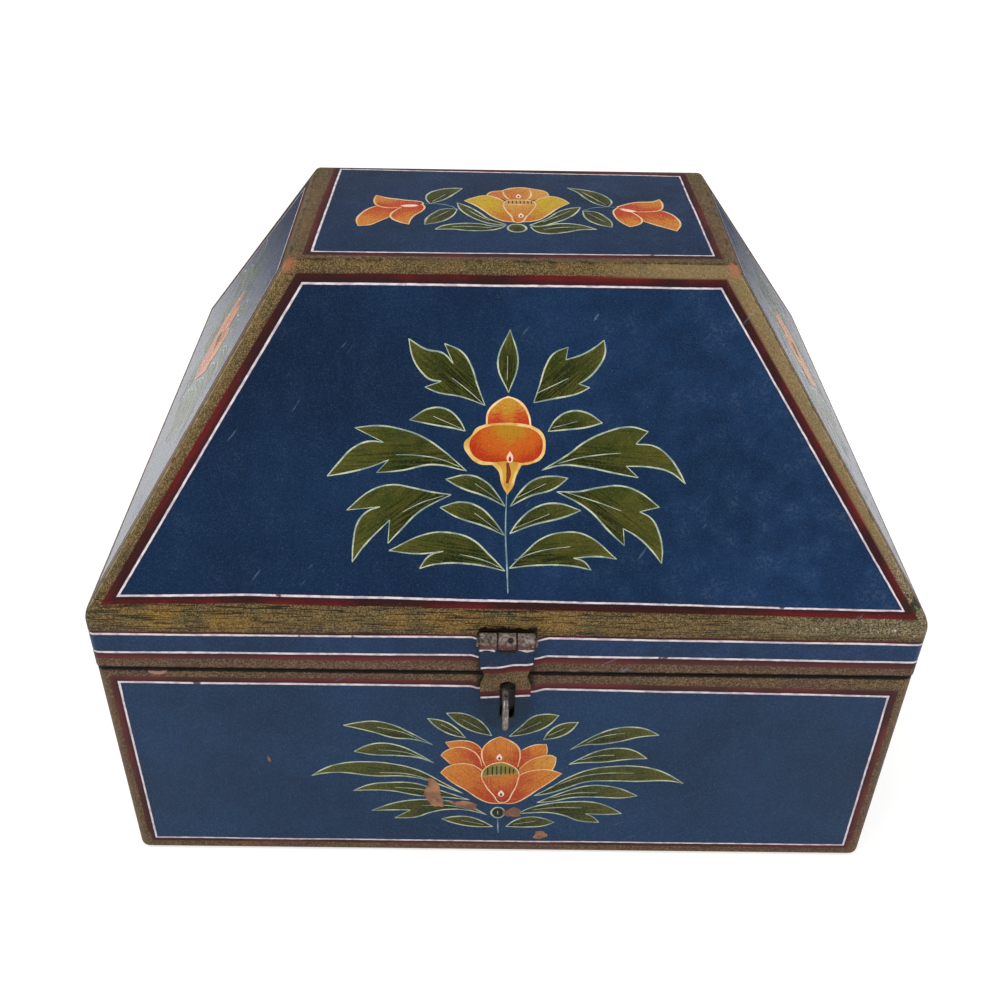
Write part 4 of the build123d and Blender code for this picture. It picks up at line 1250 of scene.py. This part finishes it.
TOP_LEAVES = [
    (
        [
            (-31, 6.6), [(-32.7, 11.3), (-32.2, 16.3), (-28.9, 20.3), (-23.9, 22.5)], (-18.7, 22.7),
            [(-21.7, 17.2), (-26, 10.7)],
        ],
        [(-30.2, 8.8), (-25.3, 16.3)],
    ),
    (
        [
            (-20.3, 1.6), [(-25.3, 1.7), (-29.6, -3), (-31.9, -8.7)], (-32.1, -13.4),
            [(-26, -10.3), (-22.1, -5.1)],
        ],
        [(-23, 0.6), (-29.6, -8)],
    ),
    (
        [
            (-1.7, -12.2), [(-8.1, -7.5), (-11.7, -1.8), (-16, 4)], (-20.5, 7.9),
            [(-19.6, 2.6), (-16.7, -3.2), (-11.7, -8.9), (-6, -12.2)],
        ],
        [(-8, -9), (-13, -3.4), (-17, 2)],
    ),
    (
        [
            (-1.7, -12.6), [(-6, -14), (-12, -11.9), (-20.3, -12.2), (-25.6, -14.4)], (-28.1, -17.6),
            [(-21.7, -17.3), (-14.6, -18.4), (-7.4, -17.6), (-3.1, -14.9)],
        ],
        [(-7, -15.6), (-15, -14.6), (-22, -15)],
    ),
    (
        [
            (6.9, -12.6), [(9, -10.9), (14, -5.9), (18.3, 0.4), (22.6, 3.8)], (27, 5.1),
            [(25.4, 0.4), (21.9, -5.1), (16.1, -10.2), (10, -13.6)],
        ],
        [(12, -9.6), (18, -3.6), (23, 1.6)],
    ),
    (
        [
            (7.2, -14.2), [(11.1, -13.6), (18.3, -10.8), (25.4, -11.6)], (31.9, -15.7),
            [(26.1, -16.2), (19.7, -18.8), (14, -20.2), (9.7, -18.7)],
        ],
        [(12, -16.4), (18, -14.4), (26, -13.6)],
    ),
    (
        [
            (37.9, 5.9), [(39.5, 10.6), (38.3, 15), (35.4, 19.2), (31.1, 22.1)], (22.9, 24.9),
            [(26.9, 19.9), (29.7, 14), (34, 8.2)],
        ],
        [(37, 8), (33, 14), (28.6, 20.6)],
    ),
    (
        [
            (27.6, 1.6), [(32.6, 0.6), (36.1, -4.4), (37.9, -9.4)], (37.6, -13.6),
            [(32.6, -11), (28.6, -5.9)],
        ],
        [(29, 0), (35.6, -9)],
    ),
]
TOP_SHAPES = [
    (
        "honey", 1,
        [
            (1.9, 8), [(-4, 13)], (-9.2, 16), [(-7.4, 19.3), (-3.1, 20.8)], (-2.8, 20.8),
            [(0.1, 23.2), (4, 24.2), (9.7, 22.8), (14, 20.3)], (15.4, 15.9), [(10, 12)],
        ],
    ),
    (
        "lemon", 2,
        [
            (2, -10.2), [(-3, -8.9), (-6.9, -5.1), (-9.8, -0.1), (-14, 6.2)], (-17.8, 9.9),
            [(-14.6, 12.9), (-9.6, 15.4), (-5.6, 13.6), (-2, 9.8)], (-1, 2), [],
        ],
    ),
    (
        "lemon", 2,
        [
            (3, -10.2), [(9.7, -8.2), (14, -3), (18.3, 3.9)], (22.9, 8.8),
            [(20.4, 12.9), (16.1, 15.4), (11.9, 13.3), (9, 9.6)], (7, 2), [],
        ],
    ),
    (
        "honey", 3,
        [
            (2.6, -10.4), [(0.1, -3.9), (-1.8, 1.3), (-2.5, 7.7)], (-1, 10.6), [(2.6, 11.3), (8.3, 10.4)],
            (9.8, 7.7), [(8.4, 1.3), (6.2, -4.4)],
        ],
    ),
    (
        "tulip", 2,
        [
            (-40, 4), [(-35, 6.4), (-41.7, 10), (-48.1, 11.8)], (-52.3, 14.3),
            [(-52.7, 10), (-52.4, 7), (-51, 4)], (-48, 2), [(-44, 1.6)],
        ],
    ),
    (
        "tulip", 1,
        [
            (-40.6, 3), [(-44.6, 0), (-45.6, -6.6), (-48.9, -10.3), (-52.4, -14.2)], (-56.7, -15.5),
            [(-57.8, -9.4), (-56.5, -3.7), (-54.2, 0.8)], (-50.6, 4), [(-46, 4)],
        ],
    ),
    (
        "tulip", 3,
        [
            (-38.6, 5.6), [(-34.4, 6.1), (-33, 3.6), (-33.5, -0.1), (-36, -4.4), (-37.4, -8)],
            (-38.1, -13.5), [(-41.7, -11.4), (-44.8, -8), (-45.4, -4.6), (-43.6, 0)],
        ],
    ),
    (
        "tulip", 2,
        [
            (45, 3), [(42, 6), (44, 7.9), (49.7, 10.8), (55.4, 11.5)], (58.5, 14),
            [(59.1, 9.1), (57.3, 3.1)], (52.6, 1.6), [(48.3, 1.2)],
        ],
    ),
    (
        "tulip", 1,
        [
            (45.6, 2.6), [(52, 4), (57.2, 3.2), (60.4, 0.7), (63, -4.4), (63.6, -10.1)], (61.5, -16.2),
            [(56.9, -12.8), (52.6, -9.6)], (48.6, -6.9), [(47, -1)],
        ],
    ),
    (
        "tulip", 3,
        [
            (45.2, 2.4), [(40.6, 4.4), (39.6, 2), (39.5, -2.3), (41.1, -8)], (44.4, -13),
            [(48.3, -10.3), (49.6, -6.4), (48.6, -3), (46.4, 0.8)],
        ],
    ),
    ("drop", 5, [(-42.4, 4), [(-39.6, 5.2), (-37, 5.2)], (-35.2, 4.4), [(-37.4, 3.2), (-40, 3)]]),
    ("drop", 5, [(48.4, 1.6), [(46, 3.2), (44, 3.8)], (42, 3.4), [(44, 1.8), (46, 1)]]),
    ("leaf", 1, [(2.2, -19), [(-0.6, -17.6), (-0.4, -13.6), (2.2, -12.2), (4.8, -13.6), (5, -17.6)]]),
]
TOP_LINES = [
    ("white_line", 1, 0.38, [(-9.2, 16), (-7.4, 19.3), (-3.1, 20.8)]),
    (
        "white_line", 1, 0.38,
        [(-3.1, 20.8), (0.1, 23.2), (4, 24.2), (9.7, 22.8), (14, 20.3), (15.4, 15.9)],
    ),
    ("white_line", 1, 0.41, [(-2.9, 20.6), (-2, 15.6), (-0.2, 11.4)]),
    ("white_line", 1, 0.41, [(7.8, 22.6), (8.3, 16.3), (6.4, 11.4)]),
    (
        "white_line", 2, 0.41,
        [(2, -10.2), (-3, -8.9), (-6.9, -5.1), (-9.8, -0.1), (-14, 6.2), (-17.8, 9.9)],
    ),
    ("white_line", 2, 0.41, [(-17.8, 9.9), (-14.6, 12.9), (-9.6, 15.4), (-5.6, 13.6), (-2.6, 10)]),
    ("white_line", 2, 0.41, [(3, -10.2), (9.7, -8.2), (14, -3), (18.3, 3.9), (22.9, 8.8)]),
    ("white_line", 2, 0.41, [(22.9, 8.8), (20.4, 12.9), (16.1, 15.4), (11.9, 13.3), (9.6, 10)]),
    (
        "white_line", 3, 0.38,
        [
            (2.6, -10.4), (0.1, -3.9), (-1.8, 1.3), (-2.5, 7.7), (-1, 10.6), (2.6, 11.3), (8.3, 10.4),
            (9.8, 7.7), (8.4, 1.3), (6.2, -4.4), (2.6, -10.4),
        ],
    ),
    ("white_line", 3, 0.35, [(-2.3, 6.4), (3.6, 6.6), (9.6, 6.5)]),
    ("white_line", 2, 0.38, [(-38.6, 4.6), (-33.6, 6.2), (-41.7, 10), (-48.1, 11.8), (-52.3, 14.3)]),
    ("white_line", 2, 0.38, [(-52.3, 14.3), (-52.7, 10), (-52.4, 7), (-51, 4), (-46.7, 2), (-42.4, 2.6)]),
    ("white_line", 1, 0.38, [(-51, 4), (-54.2, 0.8), (-56.5, -3.7), (-57.8, -9.4), (-56.7, -15.5)]),
    ("white_line", 1, 0.38, [(-56.7, -15.5), (-52.4, -14.2), (-48.9, -10.3), (-45.6, -6.6)]),
    (
        "white_line", 3, 0.38,
        [(-41.7, 2.6), (-43.6, 0), (-45.4, -4.6), (-44.8, -8), (-41.7, -11.4), (-38.1, -13.5)],
    ),
    (
        "white_line", 3, 0.38,
        [(-38.1, -13.5), (-37.4, -8), (-36, -4.4), (-33.5, -0.1), (-33, 3.6), (-34.6, 6.2)],
    ),
    ("white_line", 2, 0.38, [(44, 4.4), (41.4, 5), (44, 7.9), (49.7, 10.8), (55.4, 11.5), (58.5, 14)]),
    ("white_line", 2, 0.38, [(58.5, 14), (59.1, 9.1), (57.3, 3.1), (52.6, 1.6), (48.3, 1.2)]),
    ("white_line", 1, 0.38, [(57.2, 3.2), (60.4, 0.7), (63, -4.4), (63.6, -10.1), (61.5, -16.2)]),
    ("white_line", 1, 0.38, [(61.5, -16.2), (56.9, -12.8), (52.6, -9.6), (49.4, -7)]),
    ("white_line", 3, 0.38, [(41.1, 4.8), (39.6, 2), (39.5, -2.3), (41.1, -8), (44.4, -13)]),
    ("white_line", 3, 0.38, [(44.4, -13), (48.3, -10.3), (49.6, -6.4), (48.6, -3), (46.2, 1)]),
    ("stem_line", 1, 0.24, [(-34.4, 6), (-28.1, 6.5), (-23.1, 4.6), (-20.3, 1.3)]),
    ("stem_line", 1, 0.24, [(40.6, 5.6), (36.9, 5.7), (31.9, 4.6), (27.6, 1.6)]),
    (
        "leaf_line", 2, 0.4,
        [(2.2, -12), (-0.5, -13.4), (-0.8, -17.4), (2.2, -19.2), (5.2, -17.4), (4.9, -13.4), (2.2, -12)],
    ),
]
for seed_x in (-0.6, 0.9, 2.4, 3.9, 5.4, 6.9, 8.2):
    TOP_LINES.append(("dark_seed", 4, 0.41, [(seed_x, 8), (seed_x, 10.6)]))
TOP_DROPS = [(3.3, 15.4, 2.0, 4.0), (3.9, -3.7, 2.0, 4.2)]

# Layers of paint, in millimetres: the first one's height, what each level adds, what a line adds,
# and how deep their undersides lie in the wood
FILM = 0.03
COAT = 0.022
LINE_COAT = 0.016
SUNK = -0.05
AT_THE_EDGE = 0.02
STEPS_PER_BEND = 7
CHIP_POINTS = 14
WELD = 0.0005
DROP_LEVEL, DROP_CORE_LEVEL, CHIP_LEVEL = 7, 8, 9


def film_top(level):
    """How far a layer of paint stands off the wood: later layers lie over earlier ones."""
    return FILM + COAT * level


def add_spline(curve, points, corners, closed):
    """One hand-drawn line through the points, smooth except at its corners."""
    spline = curve.splines.new("BEZIER")
    spline.bezier_points.add(len(points) - 1)
    for at, (x, y) in enumerate(points):
        knot = spline.bezier_points[at]
        knot.co = (x, y, 0.0)
        kind = "VECTOR" if at in corners else "AUTO"
        knot.handle_left_type = kind
        knot.handle_right_type = kind
    spline.use_cyclic_u = closed
    return spline


def read_outline(outline):
    """The points of an outline in order, and which of them are corners."""
    points = []
    corners = set()
    for part in outline:
        if isinstance(part, tuple):
            corners.add(len(points))
            points.append(part)
        else:
            points.extend(part)
    return points, corners


def sides_of(outline):
    """The separate brush strokes round an outline, each from corner to corner."""
    points, corners = read_outline(outline)
    marks = sorted(corners) + [len(points)]
    ring = points + [points[0]]
    return [ring[start : stop + 1] for start, stop in zip(marks, marks[1:])]


def curve_object(name, flat):
    curve = bpy.data.curves.new(name, "CURVE")
    curve.dimensions = "2D" if flat else "3D"
    curve.resolution_u = STEPS_PER_BEND
    made = bpy.data.objects.new(name, curve)
    bpy.context.scene.collection.objects.link(made)
    return made


def as_mesh(made):
    """Turns a curve into its mesh, alone in the selection."""
    bpy.ops.object.select_all(action="DESELECT")
    made.select_set(True)
    bpy.context.view_layer.objects.active = made
    bpy.ops.object.convert(target="MESH")
    return bpy.context.view_layer.objects.active


def filled_shape(name, outline, level, paint_name, tip=None):
    """A closed film of paint in an outline, with its map running from its foot to its far tip."""
    points, corners = read_outline(outline)
    made = curve_object(name, True)
    made.data.fill_mode = "BOTH"
    made.data.extrude = (film_top(level) - SUNK) / 2
    add_spline(made.data, points, corners, True)
    made = as_mesh(made)
    made.data.transform(Matrix.Translation((0, 0, (film_top(level) + SUNK) / 2)))
    foot = Vector(points[0])
    if tip is None:
        tip = max((Vector(point) for point in points), key=lambda point: (point - foot).length)
    axis = Vector(tip) - foot
    reach = axis.length
    axis.normalize()
    across = Vector((-axis.y, axis.x))
    while made.data.uv_layers:
        made.data.uv_layers.remove(made.data.uv_layers[0])
    layer = made.data.uv_layers.new(name="UVMap")
    for loop in made.data.loops:
        offset = made.data.vertices[loop.vertex_index].co.to_2d() - foot
        layer.data[loop.index].uv = (offset.dot(axis) / reach, offset.dot(across) / reach)
    made.data.materials.clear()
    made.data.materials.append(PAINTS[paint_name])
    return made


def painted_lines(name, lines):
    """Brush lines, one object for each paint and level, uneven in width and thin at their ends."""
    by_paint = {}
    for paint_name, level, half_line, points in lines:
        by_paint.setdefault((paint_name, level), []).append((half_line, points))
    made = []
    for (paint_name, level), members in by_paint.items():
        drawn = curve_object(name, False)
        drawn.data.bevel_depth = 1.0
        drawn.data.bevel_resolution = 0
        drawn.data.use_fill_caps = True
        for half_line, points in members:
            closed = points[0] == points[-1]
            ends = set() if closed else {0, len(points) - 1}
            run = points[:-1] if closed else points
            spline = add_spline(drawn.data, run, ends, closed)
            for at, knot in enumerate(spline.bezier_points):
                swell = 0.55 if at in ends else 1.0 + 0.12 * math.sin(7.0 * knot.co.x + 3.0 * knot.co.y)
                knot.radius = half_line * swell
        drawn = as_mesh(drawn)
        top = film_top(level) + LINE_COAT
        for vertex in drawn.data.vertices:
            if abs(vertex.co.z) <= AT_THE_EDGE:
                vertex.co.z = top - LINE_COAT / 2
            else:
                vertex.co.z = top if vertex.co.z > 0 else SUNK
        drawn.data.materials.clear()
        drawn.data.materials.append(PAINTS[paint_name])
        made.append(drawn)
    return made


def drop_outline(x, y, width, height):
    """A drop of white, round below and drawn out to a point above."""
    low = (x, y - height / 2)
    left = (x - width / 2, y - height * 0.2)
    right = (x + width / 2, y - height * 0.2)
    return [(x, y + height / 2), [left, low, right]]


def chip_outline(x, y, width, height, tilt):
    """The ragged edge of a place where the paint has flaked off."""
    turn = math.radians(tilt)
    points = []
    for step in range(CHIP_POINTS):
        angle = 2 * math.pi * step / CHIP_POINTS
        ragged = 1 + 0.16 * math.sin(3 * angle + x) + 0.13 * math.sin(5 * angle + y)
        across = math.cos(angle) * width / 2 * ragged
        along = math.sin(angle) * height / 2 * ragged
        points.append(
            (
                x + across * math.cos(turn) - along * math.sin(turn),
                y + across * math.sin(turn) + along * math.cos(turn),
            )
        )
    return points


def paint_flower(name, leaves, shapes, lines, drops, chips=(), leaf_line=0.32):
    """One whole painted flower, flat in millimetres, as a single mesh."""
    parts = []
    strokes = list(lines)
    for outline, midrib in leaves:
        parts.append(filled_shape(name, outline, 0, "leaf"))
        for side in sides_of(outline):
            strokes.append(("leaf_line", 0, leaf_line if len(side) > 2 else 0.9 * leaf_line, side))
        strokes.append(("leaf_line", 0, 0.6 * leaf_line, midrib))
    for paint_name, level, outline, *tip in shapes:
        parts.append(filled_shape(name, outline, level, paint_name, *tip))
    for x, y, width, height in drops:
        parts.append(filled_shape(name, drop_outline(x, y, width, height), DROP_LEVEL, "drop"))
        core = drop_outline(x, y - height * 0.16, width * 0.42, height * 0.5)
        parts.append(filled_shape(name, core, DROP_CORE_LEVEL, "drop_core"))
    for x, y, width, height, tilt in chips:
        ragged = chip_outline(x, y, width, height, tilt)
        parts.append(filled_shape(name, ragged, CHIP_LEVEL, "primer"))
    parts.extend(painted_lines(name, strokes))
    bpy.ops.object.select_all(action="DESELECT")
    for part in parts:
        part.select_set(True)
    bpy.context.view_layer.objects.active = parts[0]
    bpy.ops.object.join()
    flower = bpy.context.view_layer.objects.active
    bpy.ops.object.mode_set(mode="EDIT")
    bpy.ops.mesh.select_all(action="SELECT")
    bpy.ops.mesh.remove_doubles(threshold=WELD)
    bpy.ops.mesh.normals_make_consistent(inside=False)
    bpy.ops.object.mode_set(mode="OBJECT")
    flower.name = name
    flower.data.name = name
    return flower


def face(origin, right, up):
    """The matrix from a flat drawing in millimetres to a face of the box."""
    right, up = Vector(right), Vector(up)
    normal = right.cross(up)
    columns = Matrix((right * MM, up * MM, normal * MM)).transposed().to_4x4()
    return Matrix.Translation(origin) @ columns


def lay_on(flower, name, where, body, share=1.0, lift=0.0):
    """A copy of a flower, at a share of its size, on one face of a body."""
    piece = flower.copy()
    piece.data = flower.data.copy()
    piece.name = name
    piece.data.name = name
    bpy.context.scene.collection.objects.link(piece)
    shrink = Matrix.Diagonal((share, share, 1.0, 1.0))
    piece.data.transform(where @ Matrix.Translation((0, lift, 0)) @ shrink)
    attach(piece, body)


front_up = (0, front_run / front_length, rise / front_length)
back_up = (0, -front_run / front_length, rise / front_length)
left_up = (side_run / side_length, 0, rise / side_length)
right_up = (-side_run / side_length, 0, rise / side_length)
FACES = {
    "base_front": face((0, -half_depth, 0), (1, 0, 0), (0, 0, 1)),
    "base_back": face((0, half_depth, 0), (-1, 0, 0), (0, 0, 1)),
    "base_left": face((-half_width, 0, 0), (0, -1, 0), (0, 0, 1)),
    "base_right": face((half_width, 0, 0), (0, 1, 0), (0, 0, 1)),
    "slope_front": face((0, -half_depth, ridge), (1, 0, 0), front_up),
    "slope_back": face((0, half_depth, ridge), (-1, 0, 0), back_up),
    "slope_left": face((-half_width, 0, ridge), (0, -1, 0), left_up),
    "slope_right": face((half_width, 0, ridge), (0, 1, 0), right_up),
    "top": face((0, 0, lid_top), (1, 0, 0), (0, 1, 0)),
}


def paint_all_flowers():
    rose = paint_flower("rose", SLOPE_LEAVES, SLOPE_SHAPES, SLOPE_LINES, SLOPE_DROPS)
    lotus = paint_flower("lotus", LOTUS_LEAVES, LOTUS_SHAPES, LOTUS_LINES, LOTUS_DROPS)
    chipped = paint_flower("chipped", LOTUS_LEAVES, LOTUS_SHAPES, LOTUS_LINES, LOTUS_DROPS, LOTUS_CHIPS)
    spray = paint_flower("spray", TOP_LEAVES, TOP_SHAPES, TOP_LINES, TOP_DROPS, leaf_line=0.38)
    lay_on(chipped, "base_front_flower", FACES["base_front"], "base")
    lay_on(lotus, "base_back_flower", FACES["base_back"], "base")
    lay_on(lotus, "base_left_flower", FACES["base_left"], "base", 0.94, 2.5)
    lay_on(lotus, "base_right_flower", FACES["base_right"], "base", 0.94, 2.5)
    lay_on(rose, "lid_front_flower", FACES["slope_front"], "lid")
    lay_on(rose, "lid_back_flower", FACES["slope_back"], "lid")
    lay_on(lotus, "lid_left_flower", FACES["slope_left"], "lid", 0.95, 7.5)
    lay_on(lotus, "lid_right_flower", FACES["slope_right"], "lid", 0.95, 7.5)
    lay_on(spray, "lid_top_flower", FACES["top"], "lid")
    for pattern in (rose, lotus, chipped, spray):
        bpy.data.objects.remove(pattern)


def dress(material, *names):
    for name in names:
        for slot in nodes[name].material_slots:
            slot.link = "OBJECT"
            slot.material = material


def dress_all_nodes():
    boards = [name for name in nodes if name.startswith("base_") and name.endswith("_board")]
    lid = [name for name in nodes if name.startswith(("lid_rail_", "lid_slope_", "lid_top_board"))]
    lid = [name for name in lid if not name.endswith("nails")]
    dress(make_base_paint(), *boards)
    dress(make_lid_paint(), *lid)
    dress(make_bare_wood(), "bottom_board")
    dress(make_hasp_paint(), "hasp_plate")
    dress(make_strap_paint(), "hasp_strap")
    dress(make_iron("rubbed_iron", 0.4, 0.95), "hasp_pin", "hasp_staple")
    rest = set(nodes) - set(boards) - set(lid)
    rest -= {"bottom_board", "hasp_plate", "hasp_strap", "hasp_pin", "hasp_staple"}
    dress(make_iron("dull_iron", 0.75, 0.35), *sorted(rest))


def make_floor():
    """A pale floor, white to the camera, that keeps the box's shadow and is dimmer far behind it; to gloss
    it glows behind the box, more on the left.
    """
    bpy.ops.mesh.primitive_plane_add(size=12.0, location=(0, 0, 0))
    floor = bpy.context.active_object
    floor.name = "floor"
    made, s, shader, place = new_material("floor_paper")
    x, y, _ = s.split(place)
    tooth = s.noise(place, 0.4, 3.0)
    paper = s.blend(tooth, paint(232, 231, 229), paint(236, 235, 233))
    far_behind = s.fade(y, 330.0, 760.0)
    finish = {
        "Colour": s.blend(far_behind, paper, paint(92, 94, 100)),
        "Roughness": s.plus(0.85, s.times(tooth, 0.1)),
        "Height": s.times(tooth, 0.02),
    }
    connect(s, shader, finish)
    rays = s.node("LightPath", {}).outputs
    mirrored = s.calc("MAXIMUM", rays["Is Glossy Ray"], rays["Is Transmission Ray"])
    # To gloss the floor glows behind the box, brighter on the left: a painted reflection
    behind = s.times(s.fade(y, -60.0, 80.0), s.minus(1.0, far_behind))
    mirrored_glow = s.times(s.times(mirrored, behind), s.choose(s.fade(x, -100.0, 100.0), 0.46, 0.36))
    glow = s.times(rays["Is Camera Ray"], s.choose(far_behind, 0.45, 1.0))
    shader.inputs["Emission Color"].default_value = (1, 1, 1, 1)
    s.tree.links.new(s.plus(glow, mirrored_glow), shader.inputs["Emission Strength"])
    floor.data.materials.append(made)


def make_world():
    """Plain soft light all round: white to the camera; to gloss, a white horizon under a dimmer sky."""
    world = bpy.data.worlds.new("studio")
    bpy.context.scene.world = world
    world.use_nodes = True
    s = Sketch(world.node_tree)
    background = world.node_tree.nodes["Background"]
    rays = s.node("LightPath", {}).outputs
    direction = s.node("TexCoord", {}).outputs["Generated"]
    _, _, upward = s.split(direction)
    sky = s.choose(s.fade(upward, 0.02, 0.3), 1.0, 0.2)
    mirrored = s.calc("MAXIMUM", rays["Is Glossy Ray"], rays["Is Transmission Ray"])
    strength = s.choose(mirrored, 0.75, sky)
    strength = s.choose(rays["Is Camera Ray"], strength, 1.0)
    background.inputs["Color"].default_value = (1, 1, 1, 1)
    s.tree.links.new(strength, background.inputs["Strength"])


def make_lamp(name, place, aim, size, power):
    data = bpy.data.lights.new(name, "AREA")
    data.shape = "SQUARE"
    data.size = size
    data.energy = power
    lamp = bpy.data.objects.new(name, data)
    bpy.context.scene.collection.objects.link(lamp)
    lamp.location = place
    toward = Vector(aim) - Vector(place)
    lamp.rotation_euler = toward.to_track_quat("-Z", "Y").to_euler()


def make_camera():
    """The photograph's own view: where the camera stood, how it was tilted, and its small shift."""
    stand = Vector((-0.01047, -0.42355, 0.40835))
    yaw, pitch, roll = 0.007, 0.632, 0.017
    focal_pixels, picture, sensor = 1167.0, 1000.0, 36.0
    centre_x, centre_y = 486.0, 496.0
    ahead = Vector((math.sin(yaw) * math.cos(pitch), math.cos(yaw) * math.cos(pitch), -math.sin(pitch)))
    level = Vector((math.cos(yaw), -math.sin(yaw), 0.0))
    upright = level.cross(ahead)
    right = math.cos(roll) * level + math.sin(roll) * upright
    up = -math.sin(roll) * level + math.cos(roll) * upright
    data = bpy.data.cameras.new("camera")
    data.sensor_width = sensor
    data.lens = focal_pixels * sensor / picture
    data.shift_x = (picture / 2 - centre_x) / picture
    data.shift_y = (centre_y - picture / 2) / picture
    data.clip_start = 0.01
    camera = bpy.data.objects.new("camera", data)
    bpy.context.scene.collection.objects.link(camera)
    turn = Matrix((right, up, -ahead)).transposed()
    camera.matrix_world = Matrix.Translation(stand) @ turn.to_4x4()
    bpy.context.scene.camera = camera


bpy.ops.object.select_all(action="DESELECT")
dress_all_nodes()
paint_all_flowers()
make_floor()
make_world()
make_lamp("key", (-1.0, -0.5, 1.1), (0, 0, 0.1), 0.9, 6.6)
make_lamp("fill", (1.1, -0.6, 0.9), (0, 0, 0.1), 0.9, 5.0)
make_camera()
bpy.context.scene.view_settings.view_transform = "Standard"
